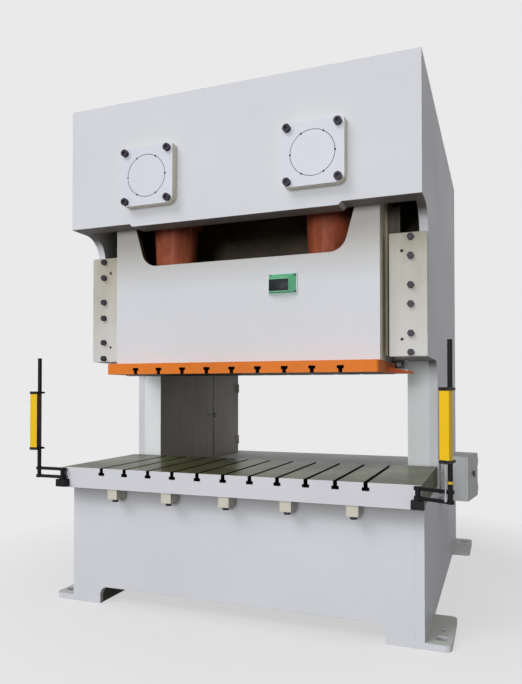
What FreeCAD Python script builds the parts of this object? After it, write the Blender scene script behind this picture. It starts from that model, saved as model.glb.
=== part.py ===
import FreeCAD, Part
import math
import os

import Sketcher

# A two-point gap-frame mechanical stamping press.
# Frame of the model: X to the right and Y to the back as the operator sees the press, Z up.
# The origin is on the floor, in the middle of the four anchor holes.  All sizes are millimetres.

Vector = FreeCAD.Vector
Rotation = FreeCAD.Rotation
Placement = FreeCAD.Placement

os.makedirs("parts", exist_ok=True)
doc = FreeCAD.newDocument("stamping_press")

# ---------------------------------------------------------------- driving dimensions

SIZES = {
    # welded frame
    "frame_half": (1350, "half the width over the side plates"),
    "side_thick": (60, "thickness of a side plate"),
    "back_y": (1550, "rear face of the frame"),
    "base_front_y": (-1550, "front face of the bed"),
    "crown_front_y": (-1590, "front face of the crown"),
    "crown_plate": (60, "thickness of the crown's upright plates"),
    "crown_under_z": (2925, "lower edge of the crown front"),
    "crown_top_z": (3865, "top of the crown"),
    "top_plate": (40, "thickness of the crown's top plate"),
    "crown_dip": (22, "how much lower the crown front is between the rods"),
    "dip_half": (800, "half width of that lower part"),
    "gusset": (180, "radius of the gusset under the crown"),
    "jaw_front_y": (-1220, "front edge of the side plates behind the gibs"),
    "jaw_under_z": (1887, "underside of the upper jaw"),
    "throat_y": (-575, "front face of the uprights, at the back of the throat"),
    "throat_radius": (150, "rounding at the top of the throat"),
    "floor_plate": (50, "thickness of the plate over the throat"),
    "inner_wall_y": (-760, "front face of the inner bearing wall"),
    "rear_wall_y": (-300, "front face of the rear bearing wall"),
    "rear_wall_low_z": (2500, "lower edge of the rear bearing wall"),
    "bed_top_z": (911, "top of the bed, where the bolster lies"),
    "bed_plate": (60, "thickness of the bed's top plate"),
    "bed_wall": (50, "thickness of the bed's front and rear walls"),
    "arch_half": (1100, "half width of the arch under the bed walls"),
    "arch_top_z": (130, "height of that arch"),
    "arch_radius": (60, "radius of its corners"),
    "upright_inner_x": (1120, "inner face of an upright"),
    "upright_wall": (40, "plate thickness of an upright"),
    "upright_back_y": (1300, "rear face of an upright"),
    "door_front_y": (587, "front edge of the cabinet opening in the left upright"),
    "lock_z": (1385, "height of the cabinet door's lock"),
    "lock_radius": (12, "radius of that lock"),
    "foot_out_x": (1515, "outer edge of a foot plate"),
    "foot_length": (570, "length of a foot plate"),
    "foot_thick": (42, "thickness of a foot plate"),
    "foot_corner": (45, "radius of a foot plate's outer corners"),
    "anchor_x": (1444, "anchor holes, from the middle plane"),
    "anchor_y": (1434, "anchor holes, from the middle plane"),
    "anchor_radius": (42, "anchor hole radius"),
    "level_y": (1284, "levelling holes, from the middle plane"),
    "level_radius": (20, "levelling hole radius"),
    # bolster and its hold-down lugs
    "bolster_depth": (1040, "bolster front to back"),
    "bolster_thick": (154, "bolster thickness"),
    "die_centre_y": (-1170, "middle of bolster and ram"),
    "slot_pitch": (200, "distance between T-slots"),
    "slot_neck": (28, "T-slot neck width"),
    "slot_head": (50, "T-slot head width"),
    "bolster_neck": (32, "depth of a bolster T-slot's neck"),
    "bolster_head": (23, "height of its head"),
    "lug_pitch": (455, "distance between the lugs under the bolster"),
    "lug_width": (80, "width of a lug"),
    "lug_height": (75, "height of a lug"),
    "lug_front_y": (-1680, "front face of the lugs"),
    # guides
    "gib_inner_x": (1092, "inner edge of a gib plate"),
    "gib_front_y": (-1305, "front face of the gib plates"),
    "gib_low_z": (1890, "lower edge of the gib plates"),
    "gib_high_z": (2745, "upper edge of the gib plates"),
    "gib_bolt_x": (1240, "row of gib bolts"),
    "gib_bolt_top_z": (2714, "highest gib bolt"),
    "gib_bolt_pair": (131, "distance within a pair of gib bolts"),
    "gib_bolt_step": (333, "distance from one pair to the next"),
    "gib_pin_x": (1180, "gib dowel holes"),
    "pin_hole": (11, "radius of a gib dowel hole"),
    "rail_out_x": (1155, "outer face of the ram's guide rails"),
    "rail_front_y": (-1205, "front face of the ram's guide rails"),
    "rail_back_y": (-1135, "rear face of the ram's guide rails"),
    "liner_seat_x": (1170, "face of a guide post behind the side liner"),
    "rear_seat_y": (-1120, "face of a guide post behind the rear liner"),
    "post_inner_x": (1110, "inner edge of a guide post"),
    "slide_gap": (0.2, "running gap at the guides"),
    # ram
    "stroke": (280, "stroke of the ram"),
    "ram_half": (1048, "half width of the ram"),
    "ram_front_y": (-1413, "front face of the ram"),
    "ram_wall": (50, "plate thickness of the ram"),
    "ram_low_z": (1862, "underside of the ram body at the top of the stroke"),
    "ram_high_z": (3000, "top of the ram body"),
    "ram_floor": (100, "thickness of the ram's floor"),
    "window_top_half": (893, "half width of the ram window at the top"),
    "window_low_half": (790, "half width of the ram window at the bottom"),
    "window_low_z": (2628, "lower edge of the ram window"),
    "window_radius": (130, "radius of its lower corners"),
    "face_thick": (83, "thickness of the ram's face plate"),
    "face_half": (1058, "half width of the face plate"),
    "face_depth": (730, "face plate front to back"),
    "face_corner": (20, "radius of the face plate's corners"),
    "wing_reach": (1214, "tip of a tapered wing beside the face plate"),
    "wing_root": (46, "thickness of a wing where it joins the face plate"),
    "wing_tip": (15, "thickness of a wing at its tip"),
    "ram_neck": (26, "depth of a ram T-slot's neck"),
    "ram_head": (22, "height of its head"),
    # crank train
    "crank_x": (640, "distance of a crank from the middle plane"),
    "crank_z": (3260, "height of the crank axes"),
    "throw": (140, "crank throw, half the stroke"),
    "journal": (125, "main journal radius"),
    "pin_radius": (130, "crankpin radius"),
    "web_thick": (90, "thickness of a crank web"),
    "pin_half": (125, "half the length of the crankpin"),
    "bush_wall": (25, "wall of a crank bush"),
    "web_half": (160, "half the width of a crank web"),
    "web_tail": (170, "crank web below the crank axis"),
    "web_nose": (160, "crank web beyond the crankpin's axis"),
    "web_corner": (120, "radius of a web's corners"),
    "boss_radius": (210, "radius of the bearing bosses"),
    "fit": (0.05, "radial clearance of a running fit"),
    "eye_radius": (240, "radius of a rod's big end"),
    "rod_half": (118, "half the thickness of the big end"),
    "shoulder_half": (290, "half width of the big end's bolt shoulders"),
    "sleeve_low_z": (2470, "lower end of a rod"),
    "sleeve_radius": (162, "radius of a rod's threaded sleeve"),
    "cone_radius": (180, "radius at the top of a rod's cone"),
    "screw_low_z": (2400, "lower end of the adjusting screw's thread"),
    "screw_high_z": (2950, "upper end of that thread"),
    "screw_radius": (95, "adjusting screw radius"),
    "neck_radius": (70, "neck of an adjusting screw"),
    "ball_radius": (130, "ball end radius"),
    "ball_z": (2150, "height of the ball centres"),
    "seat_inner_x": (350, "inner face of a ball housing"),
    "adjust_x": (258, "slide-adjusting motor"),
    "adjust_y": (-1095, "slide-adjusting motor"),
    "adjust_radius": (88, "radius of that motor"),
    "adjust_top_z": (2690, "top of that motor"),
    "display_x": (352, "middle of the display on the ram"),
    "display_z": (2425, "middle of the display on the ram"),
    "display_half": (101, "half the width of the display"),
    "display_rise": (68, "half the height of the display"),
    "display_deep": (36, "depth of the display"),
    "module": (20, "gear module"),
    "gear_teeth": (40, "teeth of a crank gear"),
    "pinion_teeth": (12, "teeth of a pinion"),
    "gear_front_y": (-560, "front face of the gears"),
    "gear_width": (160, "face width of the gears"),
    "gear_seat": (110, "radius of a crank gear's bore"),
    "hub_radius": (170, "hub of a crank gear"),
    "rim_inside": (330, "inside of a crank gear's rim"),
    "gear_recess": (50, "depth of the recess in a crank gear's face"),
    "tail_radius": (100, "rear journal radius"),
    "drive_radius": (60, "radius of the pinion shafts"),
    "pinion_x": (120, "distance of a pinion from the middle plane"),
    # drive
    "wheel_radius": (540, "flywheel radius"),
    "wheel_front_y": (20, "front face of the flywheel"),
    "wheel_width": (220, "flywheel width"),
    "motor_x": (760, "motor axis"),
    "motor_z": (2250, "motor axis height"),
    "motor_radius": (215, "motor frame radius"),
    "motor_front_y": (300, "front end of the motor"),
    "pulley_radius": (140, "motor pulley radius"),
    "belt_count": (4, "drive belts"),
    "belt_pitch": (40, "distance between belts"),
    "belt_wide": (22, "width of a belt"),
    "belt_deep": (16, "thickness of a belt"),
    "cylinder_x": (1050, "counterbalance cylinders, from the middle plane"),
    "cylinder_radius": (100, "counterbalance cylinder radius"),
    "piston_radius": (85, "counterbalance piston radius"),
    "piston_rod": (32, "counterbalance rod radius"),
    # crank covers
    "cover_half": (220, "half the side of a crank cover"),
    "cover_z": (3257, "middle height of the covers"),
    "cover_thick": (65, "thickness of a cover"),
    "cover_corner": (60, "corner radius of a cover"),
    "cover_bolt_x": (178, "cover bolts, from the cover's middle"),
    "cover_bolt_z": (184, "cover bolts, from the cover's middle"),
    "disc_radius": (157, "bearing cap let into the cover"),
    # bolts
    "bolt_head": (25, "radius over the corners of a big bolt's head"),
    "bolt_head_high": (22, "height of a big bolt's head"),
    "bolt_radius": (14, "shank radius of a big bolt"),
    "cap_radius": (27, "head radius of a cover bolt"),
    "cap_high": (26, "head height of a cover bolt"),
    "switch_x": (990, "limit switch under the inner wall"),
    "switch_wide": (125, "width of the limit switch"),
    "switch_high": (62, "height of the limit switch"),
    # light curtain
    "pivot_x": (1330, "pivot of a curtain arm"),
    "pivot_y": (-1720, "pivot of a curtain arm"),
    "pivot_radius": (17, "radius of the inner post"),
    "post_radius": (15, "radius of the outer post"),
    "post_low_z": (980, "lower end of the outer post"),
    "post_high_z": (1905, "upper end of the left outer post"),
    "post_extra": (55, "how much higher the right outer post ends"),
    "bar_low_z": (980, "underside of the lower bar"),
    "bar_high_z": (1062, "top of the upper bar"),
    "bar_size": (22, "side of the square bars"),
    "block_half": (41, "half width of an arm's base block"),
    "arm_reach": (218, "length of an arm between its posts"),
    "left_swing": (1, "degrees that the left arm is swung forward"),
    "right_swing": (24, "degrees that the right arm is swung forward"),
    "sensor_low_z": (1197, "lower end of the left sensor"),
    "sensor_lift": (27, "how much higher the right sensor is clamped"),
    "sensor_length": (450, "length of a sensor"),
    "sensor_half": (31, "half width of a sensor"),
    "sensor_depth": (45, "depth of a sensor"),
    "sensor_gap": (12, "space between post and sensor"),
    "lead_length": (225, "length of the lead under the right sensor"),
    "lead_radius": (4, "radius of that lead"),
    # control box
    "box_pivot_x": (1374, "hinge of the control box"),
    "box_pivot_y": (-488, "hinge of the control box"),
    "box_turn": (9, "degrees that the box stands off the frame"),
    "box_low_z": (785, "underside of the box"),
    "box_high_z": (1135, "top of the box"),
    "box_wide": (200, "box, across the frame"),
    "box_deep": (380, "box, front to back"),
    "box_sheet": (3, "box sheet thickness"),
}

sheet = doc.addObject("Spreadsheet::Sheet", "Sizes")
for row, (alias, (number, note)) in enumerate(SIZES.items(), 1):
    sheet.set(f"A{row}", alias)
    sheet.set(f"B{row}", str(number))
    sheet.set(f"C{row}", note)
    sheet.setAlias(f"B{row}", alias)


class Size:
    """A size: its number, and the formula that works it out from the sheet."""

    def __init__(self, number, text):
        self.number = number
        self.text = text

    def __add__(self, other):
        other = as_size(other)
        return Size(self.number + other.number, f"({self.text} + {other.text})")

    def __sub__(self, other):
        other = as_size(other)
        return Size(self.number - other.number, f"({self.text} - {other.text})")

    def __mul__(self, other):
        other = as_size(other)
        return Size(self.number * other.number, f"({self.text} * {other.text})")

    def __truediv__(self, other):
        other = as_size(other)
        return Size(self.number / other.number, f"({self.text} / {other.text})")

    def __neg__(self):
        return Size(-self.number, f"(0 - {self.text})")

    def __radd__(self, other):
        return as_size(other) + self

    def __rsub__(self, other):
        return as_size(other) - self

    def __rmul__(self, other):
        return as_size(other) * self


def as_size(item):
    """Gives a plain number the same shape as a size from the sheet."""
    if isinstance(item, Size):
        return item
    return Size(item, f"({item})" if item < 0 else f"{item}")


class Sheet:
    """The sheet's cells by name."""


S = Sheet()
for alias, (number, note) in SIZES.items():
    setattr(S, alias, Size(number, f"Sizes.{alias}"))


def bind(item, path, size):
    """Ties one property of a document object to the sheet."""
    item.setExpression(path, as_size(size).text)


# ---------------------------------------------------------------- ways to make a solid

TURN_TO = {
    "x": Rotation(Vector(0, 1, 0), 90),
    "y": Rotation(Vector(1, 0, 0), -90),
    "z": Rotation(),
}
SIDES = (("left", -1), ("right", 1))


def add_outline(sketch, points):
    """Draws a closed outline whose corners are tied to the sheet."""
    first = sketch.GeometryCount
    count = len(points)
    corners = [Vector(as_size(u).number, as_size(v).number, 0) for u, v in points]
    for index in range(count):
        sketch.addGeometry(Part.LineSegment(corners[index], corners[(index + 1) % count]))
    for index in range(count):
        after = first + (index + 1) % count
        sketch.addConstraint(Sketcher.Constraint("Coincident", first + index, 2, after, 1))
    for index, (u, v) in enumerate(points):
        place_point(sketch, first + index, 1, u, v)


def add_circle(sketch, u, v, radius):
    """Draws a circle tied to the sheet."""
    centre = Vector(as_size(u).number, as_size(v).number, 0)
    circle = sketch.addGeometry(Part.Circle(centre, Vector(0, 0, 1), as_size(radius).number))
    place_point(sketch, circle, 3, u, v)
    rule = sketch.addConstraint(Sketcher.Constraint("Radius", circle, as_size(radius).number))
    bind(sketch, f"Constraints[{rule}]", radius)


def place_point(sketch, geometry, point, u, v):
    """Sets a sketch point's distances from the sketch's axes."""
    for kind, size, axis in (("DistanceX", u, -2), ("DistanceY", v, -1)):
        size = as_size(size)
        if abs(size.number) < 1e-9:
            sketch.addConstraint(Sketcher.Constraint("PointOnObject", geometry, point, axis))
        else:
            rule = Sketcher.Constraint(kind, -1, 1, geometry, point, size.number)
            bind(sketch, f"Constraints[{sketch.addConstraint(rule)}]", size)


def new_sketch(body, plane):
    """Starts a sketch on one of the body's own planes."""
    sketch = body.newObject("Sketcher::SketchObject", body.Name + "_sketch")
    flat = [item for item in body.Origin.OriginFeatures if item.Role == plane + "_Plane"][0]
    sketch.AttachmentSupport = [(flat, "")]
    sketch.MapMode = "FlatFace"
    return sketch


def prism(name, plane, points, low, high, circles=(), windows=(), rounded=()):
    """A plate: an outline on a plane, padded from low to high along the plane's axis.

    circles are (u, v, radius) holes, windows are further outlines cut through, and
    rounded lists (u, v, radius) corners."""
    body = doc.addObject("PartDesign::Body", name)
    sketch = new_sketch(body, plane)
    add_outline(sketch, points)
    for u, v, radius in circles:
        add_circle(sketch, u, v, radius)
    for window in windows:
        add_outline(sketch, window)
    start = -as_size(high) if plane == "XZ" else as_size(low)
    bind(sketch, ".AttachmentOffset.Base.z", start)
    pad = body.newObject("PartDesign::Pad", name + "_pad")
    pad.Profile = sketch
    bind(pad, "Length", as_size(high) - low)
    tip = pad
    for step, (radius, corners) in enumerate(sorted_by_radius(rounded)):
        doc.recompute()
        fillet = body.newObject("PartDesign::Fillet", f"{name}_round{step}")
        fillet.Base = (tip, corner_edges(tip.Shape, plane, corners))
        bind(fillet, "Radius", radius)
        tip = fillet
    body.Tip = tip
    return body


def sorted_by_radius(rounded):
    """Groups rounded corners that share a radius."""
    groups = {}
    for u, v, radius in rounded:
        radius = as_size(radius)
        groups.setdefault(radius.text, (radius, []))[1].append((as_size(u).number, as_size(v).number))
    return list(groups.values())


def corner_edges(shape, plane, corners):
    """Names the straight edges that run through the given corners of an outline."""
    flat = {"XY": lambda p: (p.x, p.y), "XZ": lambda p: (p.x, p.z), "YZ": lambda p: (p.y, p.z)}[plane]
    names = []
    for index, edge in enumerate(shape.Edges, 1):
        ends = [flat(vertex.Point) for vertex in edge.Vertexes]
        for u, v in corners:
            if len(ends) == 2 and all(math.dist(end, (u, v)) < 0.01 for end in ends):
                names.append(f"Edge{index}")
    if len(names) != len(corners):
        raise ValueError(f"{len(corners)} corners but {len(names)} edges")
    return names


def turned(name, axis, centre, profile):
    """A turned piece: (radius, position) points revolved about an axis through centre."""
    body = doc.addObject("PartDesign::Body", name)
    sketch = new_sketch(body, "XZ")
    add_outline(sketch, profile)
    turn = body.newObject("PartDesign::Revolution", name + "_turn")
    turn.Profile = sketch
    turn.ReferenceAxis = (sketch, ["V_Axis"])
    turn.Angle = 360
    body.Tip = turn
    place(body, axis, centre)
    return body


def place(item, axis, centre):
    """Turns a piece made along Z to another axis and moves it onto centre."""
    item.Placement = Placement(Vector(0, 0, 0), TURN_TO[axis])
    for letter, size in zip([letter for letter in "xyz" if letter != axis], centre):
        bind(item, "Placement.Base." + letter, size)


def block(name, x, y, z):
    """A rectangular block between pairs of planes."""
    item = doc.addObject("Part::Box", name)
    for side, letter, (low, high) in (("Length", "x", x), ("Width", "y", y), ("Height", "z", z)):
        bind(item, side, as_size(high) - low)
        bind(item, "Placement.Base." + letter, low)
    return item


def rod(name, axis, centre, low, high, radius):
    """A round bar along an axis, from low to high."""
    item = doc.addObject("Part::Cylinder", name)
    place(item, axis, centre)
    bind(item, "Radius", radius)
    bind(item, "Height", as_size(high) - low)
    bind(item, "Placement.Base." + axis, low)
    return item


def cone(name, axis, centre, low, high, low_radius, high_radius):
    """A tapered round bar along an axis."""
    item = doc.addObject("Part::Cone", name)
    place(item, axis, centre)
    bind(item, "Radius1", low_radius)
    bind(item, "Radius2", high_radius)
    bind(item, "Height", as_size(high) - low)
    bind(item, "Placement.Base." + axis, low)
    return item


def fuse(name, pieces):
    item = doc.addObject("Part::MultiFuse", name)
    item.Shapes = pieces
    item.Refine = True
    return item


def cut(name, base, tools):
    item = doc.addObject("Part::Cut", name)
    item.Base = base
    item.Tool = tools[0] if len(tools) == 1 else fuse(name + "_tools", tools)
    item.Refine = True
    return item


def group(name, pieces):
    """Separate solids that share one node."""
    item = doc.addObject("Part::Compound", name)
    item.Links = pieces
    return item


def mirrored(name, piece):
    """The same piece on the other side of the press."""
    item = doc.addObject("Part::Mirroring", name)
    item.Source = piece
    item.Normal = Vector(1, 0, 0)
    return item


NODES = []


def finish(node, item):
    """Names a finished sub-part."""
    item.Label = node
    NODES.append(item)
    return item


def finish_pair(node, right):
    """Names a right-hand sub-part and its mirror image on the left."""
    finish(node + "_right", right)
    finish(node + "_left", mirrored(node + "_mirror", right))


def hex_bolt(name, axis, centre, face, tip, way, head=S.bolt_head, high=S.bolt_head_high,
             shank=S.bolt_radius):
    """A hexagon bolt: its head stands on the face, its shank ends at tip; way is the head's side."""
    hexagon = doc.addObject("Part::Prism", name + "_head")
    hexagon.Polygon = 6
    place(hexagon, axis, centre)
    bind(hexagon, "Circumradius", head)
    bind(hexagon, "Height", high)
    bind(hexagon, "Placement.Base." + axis, face if way > 0 else as_size(face) - high)
    low, far = (tip, face) if way > 0 else (face, tip)
    shaft = rod(name + "_shank", axis, centre, low, far, shank)
    return fuse(name, [hexagon, shaft])


# ---------------------------------------------------------------- shared faces

inner_x = S.frame_half - S.side_thick
crown_back_y = S.crown_front_y + S.crown_plate
inner_wall_back_y = S.inner_wall_y + S.crown_plate
rear_wall_back_y = S.rear_wall_y + S.crown_plate
top_under_z = S.crown_top_z - S.top_plate
floor_top_z = S.jaw_under_z + S.floor_plate
bed_under_z = S.bed_top_z - S.bed_plate
bolster_front_y = S.die_centre_y - S.bolster_depth / 2
bolster_back_y = S.die_centre_y + S.bolster_depth / 2
bolster_top_z = S.bed_top_z + S.bolster_thick
ram_back_y = S.die_centre_y * 2 - S.ram_front_y
face_top_z = S.ram_low_z
face_low_z = S.ram_low_z - S.face_thick
front_web_y = S.die_centre_y - S.pin_half - S.web_thick
rear_web_y = S.die_centre_y + S.pin_half + S.web_thick
front_boss_back_y = front_web_y - 15
rear_boss_front_y = rear_web_y + 15
tdc_pin_z = S.crank_z + S.throw
gear_back_y = S.gear_front_y + S.gear_width
shaft_end_y = rear_wall_back_y + 10
bolt_hole = S.bolt_radius + 0.3


def ordered(first, second):
    """A pair of sizes, the lower one first."""
    first, second = as_size(first), as_size(second)
    return (first, second) if first.number < second.number else (second, first)


# ---------------------------------------------------------------- welded frame

def foot(name, way):
    """A foot plate outside the right side plate, at the front or the back of the bed."""
    near_y = way * (S.back_y - S.foot_length)
    far_y = way * S.back_y
    outline = [
        (S.frame_half, near_y),
        (S.foot_out_x, near_y),
        (S.foot_out_x, far_y),
        (S.frame_half, far_y),
    ]
    holes = [
        (S.anchor_x, way * S.anchor_y, S.anchor_radius),
        (S.anchor_x, way * S.level_y, S.level_radius),
    ]
    rounded = [(S.foot_out_x, near_y, S.foot_corner), (S.foot_out_x, far_y, S.foot_corner)]
    return prism(name, "XY", outline, 0, S.foot_thick, circles=holes, rounded=rounded)


def side_frame():
    """C-shaped side plate: bed, upright and upper jaw in one, with its two foot plates."""
    outline = [
        (S.base_front_y, 0),
        (S.back_y, 0),
        (S.back_y, S.crown_top_z),
        (crown_back_y, S.crown_top_z),
        (crown_back_y, S.crown_under_z),
        (S.jaw_front_y, S.crown_under_z),
        (S.jaw_front_y, S.jaw_under_z),
        (S.throat_y, S.jaw_under_z),
        (S.throat_y, S.bed_top_z),
        (S.base_front_y, S.bed_top_z),
    ]
    rounded = [
        (S.jaw_front_y, S.crown_under_z, S.gusset),
        (S.throat_y, S.jaw_under_z, S.throat_radius),
    ]
    plate = prism("side_plate", "YZ", outline, inner_x, S.frame_half, rounded=rounded)
    return fuse("side_frame", [plate, foot("foot_front", -1), foot("foot_rear", 1)])


def bored_wall(name, plate, boss_faces, bore_faces, further_bores=()):
    """Welds a bearing boss for each crank onto a wall and bores both for the bushes."""
    bosses = []
    bores = list(further_bores)
    for side, way in SIDES:
        centre = (way * S.crank_x, S.crank_z)
        bosses.append(rod(f"{name}_boss_{side}", "y", centre, *boss_faces, S.boss_radius))
        bores.append(rod(f"{name}_bore_{side}", "y", centre, bore_faces[0] - 1, bore_faces[1] + 1,
                         S.journal + S.bush_wall))
    return cut(name, fuse(name + "_solid", [plate] + bosses), bores)


def crown_profile(edge_x, low, high):
    """Outline of the crown front's lower part: its edge lies lower between the rods."""
    slant_x = S.dip_half + S.crown_dip
    return [
        (-edge_x, low),
        (-slant_x, low),
        (-S.dip_half, low - S.crown_dip),
        (S.dip_half, low - S.crown_dip),
        (slant_x, low),
        (edge_x, low),
        (edge_x, high),
        (-edge_x, high),
    ]


def cover_bolt_places():
    """Middle lines of the bolts round the two crank covers."""
    places = []
    for side, way in SIDES:
        for turn_x, turn_z in ((-1, -1), (1, -1), (1, 1), (-1, 1)):
            places.append((way * S.crank_x + turn_x * S.cover_bolt_x, S.cover_z + turn_z * S.cover_bolt_z))
    return places


def crown_front():
    """Front plate of the crown, with its inward lower flange and the front bearing bosses."""
    plate = prism("crown_sheet", "XZ", crown_profile(S.frame_half, S.crown_under_z, S.crown_top_z),
                  S.crown_front_y, crown_back_y)
    flange = prism("crown_flange", "XZ", crown_profile(inner_x, S.crown_under_z, S.crown_under_z + 35),
                   S.crown_front_y, S.ram_front_y - 12)
    holes = [rod(f"cover_bolt_hole_{index}", "y", place_xz, S.crown_front_y - 1, S.crown_front_y + 45,
                 bolt_hole)
             for index, place_xz in enumerate(cover_bolt_places())]
    return bored_wall("crown_front", fuse("crown_front_sheets", [plate, flange]),
                      (crown_back_y, front_boss_back_y), (S.crown_front_y, front_boss_back_y), holes)


def inner_wall():
    """Cross wall behind the ram: carries the middle crank bearings and the pinion shafts."""
    wall = block("inner_wall_sheet", (-inner_x, inner_x), (S.inner_wall_y, inner_wall_back_y),
                 (S.jaw_under_z, top_under_z))
    holes = [rod(f"inner_wall_hole_{side}", "y", (way * S.pinion_x, S.crank_z), S.inner_wall_y - 1,
                 inner_wall_back_y + 1, S.drive_radius + S.fit) for side, way in SIDES]
    return bored_wall("inner_wall", wall, (rear_boss_front_y, S.inner_wall_y),
                      (rear_boss_front_y, inner_wall_back_y), holes)


def rear_wall():
    """Cross wall behind the gears, with the rear bearings."""
    outline = [
        (-inner_x, S.rear_wall_low_z),
        (inner_x, S.rear_wall_low_z),
        (inner_x, top_under_z),
        (-inner_x, top_under_z),
    ]
    holes = []
    for side, way in SIDES:
        holes.append((way * S.crank_x, S.crank_z, S.tail_radius + S.bush_wall))
        holes.append((way * S.pinion_x, S.crank_z, S.drive_radius + S.fit))
    return prism("rear_wall", "XZ", outline, S.rear_wall_y, rear_wall_back_y, circles=holes)


def floor_with_motor_pad():
    """Plate over the throat passage, with the pad that the motor stands on."""
    plate = block("floor_sheet", (-inner_x, inner_x), (inner_wall_back_y, S.back_y - 6),
                  (S.jaw_under_z, floor_top_z))
    pad = block("motor_pad", (S.motor_x - 200, S.motor_x + 200), (400, 950),
                (floor_top_z, S.motor_z - motor_foot_drop))
    return fuse("crown_floor", [plate, pad])


motor_foot_drop = S.motor_radius + 20


def bed_wall(name, low_y, high_y):
    """Front or rear wall of the bed, with the low arch between the feet."""
    outline = [
        (-inner_x, 0),
        (-S.arch_half, 0),
        (-S.arch_half, S.arch_top_z),
        (S.arch_half, S.arch_top_z),
        (S.arch_half, 0),
        (inner_x, 0),
        (inner_x, S.bed_top_z),
        (-inner_x, S.bed_top_z),
    ]
    rounded = [
        (-S.arch_half, S.arch_top_z, S.arch_radius),
        (S.arch_half, S.arch_top_z, S.arch_radius),
    ]
    return prism(name, "XZ", outline, low_y, high_y, rounded=rounded)


def lug_places():
    """Middle lines of the bolts that hold the bolster down."""
    return [(S.lug_pitch * step, S.lug_front_y + 45) for step in range(-2, 3)]


def bed_front():
    """Bed front wall with the lugs under the bolster's front edge welded to it."""
    pieces = [bed_wall("bed_front_sheet", S.base_front_y, S.base_front_y + S.bed_wall)]
    holes = []
    low_z = S.bed_top_z - S.lug_height
    for index, (x, y) in enumerate(lug_places()):
        pieces.append(block(f"lug_{index}", (x - S.lug_width / 2, x + S.lug_width / 2),
                            (S.lug_front_y, S.base_front_y), (low_z, S.bed_top_z)))
        holes.append(rod(f"lug_hole_{index}", "z", (x, y), low_z - 1, S.bed_top_z + 1, bolt_hole))
    return cut("bed_front", fuse("bed_front_solid", pieces), holes)


def hinge_post(name, x, y, low_z, foot_span_x, foot_span_y, radius=6):
    """Fixed hinge pin on a small foot; its knuckle rides just above the foot."""
    pin = rod(name, "z", (x, y), low_z - 20, low_z + 80, radius)
    base = block(name + "_foot", foot_span_x, foot_span_y, (low_z - 20, low_z - 0.3))
    return [pin, base]


cabinet_low_z = S.bed_top_z + 20
cabinet_high_z = S.jaw_under_z - 50
lock_y = S.door_front_y + 26
hinge_x = 14 - S.upright_inner_x
hinge_y = S.upright_back_y - 34


def upright(side, way):
    """Box column between the side plate and the throat passage; the left one holds a cabinet."""
    span = ordered(way * S.upright_inner_x, way * inner_x)
    skin = ordered(way * S.upright_inner_x, way * (S.upright_inner_x + S.upright_wall))
    height = (S.bed_top_z, S.jaw_under_z)
    pieces = [
        block(f"upright_front_{side}", span, (S.throat_y, S.throat_y + S.upright_wall), height),
        block(f"upright_rear_{side}", span, (S.upright_back_y - S.upright_wall, S.upright_back_y), height),
    ]
    if way > 0:
        pieces.append(block("upright_skin_right", skin, (S.throat_y, S.upright_back_y), height))
        return fuse("upright_box_right", pieces)
    pieces.append(block("upright_skin_left", skin, (S.throat_y, S.door_front_y), height))
    pieces.append(block("upright_partition", span, (S.door_front_y - S.upright_wall, S.door_front_y),
                        height))
    pieces.append(block("upright_sill", skin, (S.throat_y, S.upright_back_y),
                        (S.bed_top_z, cabinet_low_z)))
    pieces.append(block("upright_lintel", skin, (S.throat_y, S.upright_back_y),
                        (cabinet_high_z, S.jaw_under_z)))
    for index, low_z in enumerate(cabinet_hinge_heights):
        foot_span_x = (-S.upright_inner_x, hinge_x + 6)
        foot_span_y = (S.upright_back_y - S.upright_wall, S.upright_back_y - 20)
        pieces += hinge_post(f"cabinet_pin_{index}", hinge_x, hinge_y, low_z, foot_span_x, foot_span_y)
    return fuse("upright_box_left", pieces)


cabinet_hinge_heights = [cabinet_low_z + 110, cabinet_high_z - 190]


def cabinet_door():
    """Flush door in the left upright, with two hinge knuckles and the hole of its lock."""
    gap = 3
    low_y, high_y = S.door_front_y + gap * 2, S.upright_back_y - S.upright_wall - gap
    low_z, high_z = cabinet_low_z + gap, cabinet_high_z - gap
    outline = [(low_y, low_z), (high_y, low_z), (high_y, high_z), (low_y, high_z)]
    holes = [(lock_y, S.lock_z, S.lock_radius + S.fit)]
    pieces = [prism("door_leaf", "YZ", outline, -S.upright_inner_x - 12, -S.upright_inner_x,
                    circles=holes)]
    pins = []
    for index, hinge_z in enumerate(cabinet_hinge_heights):
        height = (hinge_z, hinge_z + 80)
        pieces.append(block(f"door_pad_{index}", (-S.upright_inner_x, hinge_x - 2),
                            (hinge_y - 50, high_y), height))
        pieces.append(block(f"door_strap_{index}", (2 - S.upright_inner_x, hinge_x - 2),
                            (hinge_y - 50, hinge_y),
                            height))
        pieces.append(rod(f"door_knuckle_{index}", "z", (hinge_x, hinge_y), *height, 11))
        pins.append(rod(f"door_bore_{index}", "z", (hinge_x, hinge_y), hinge_z - 1, hinge_z + 81,
                        6 + S.fit))
    return cut("cabinet_door_bored", fuse("cabinet_door_solid", pieces), pins)


def cabinet_lock():
    """Quarter-turn lock in the cabinet door, with a long handle across the door's front gap."""
    face_x = 3 - S.upright_inner_x
    return fuse("lock", [
        rod("lock_barrel", "x", (lock_y, S.lock_z), -S.upright_inner_x - 30, face_x, S.lock_radius),
        rod("lock_boss", "x", (lock_y, S.lock_z), face_x, face_x + 12, S.lock_radius * 1.8),
        block("lock_handle", (face_x, face_x + 9), (lock_y - 170, lock_y + 75),
              (S.lock_z - 8, S.lock_z + 8)),
    ])


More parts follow.
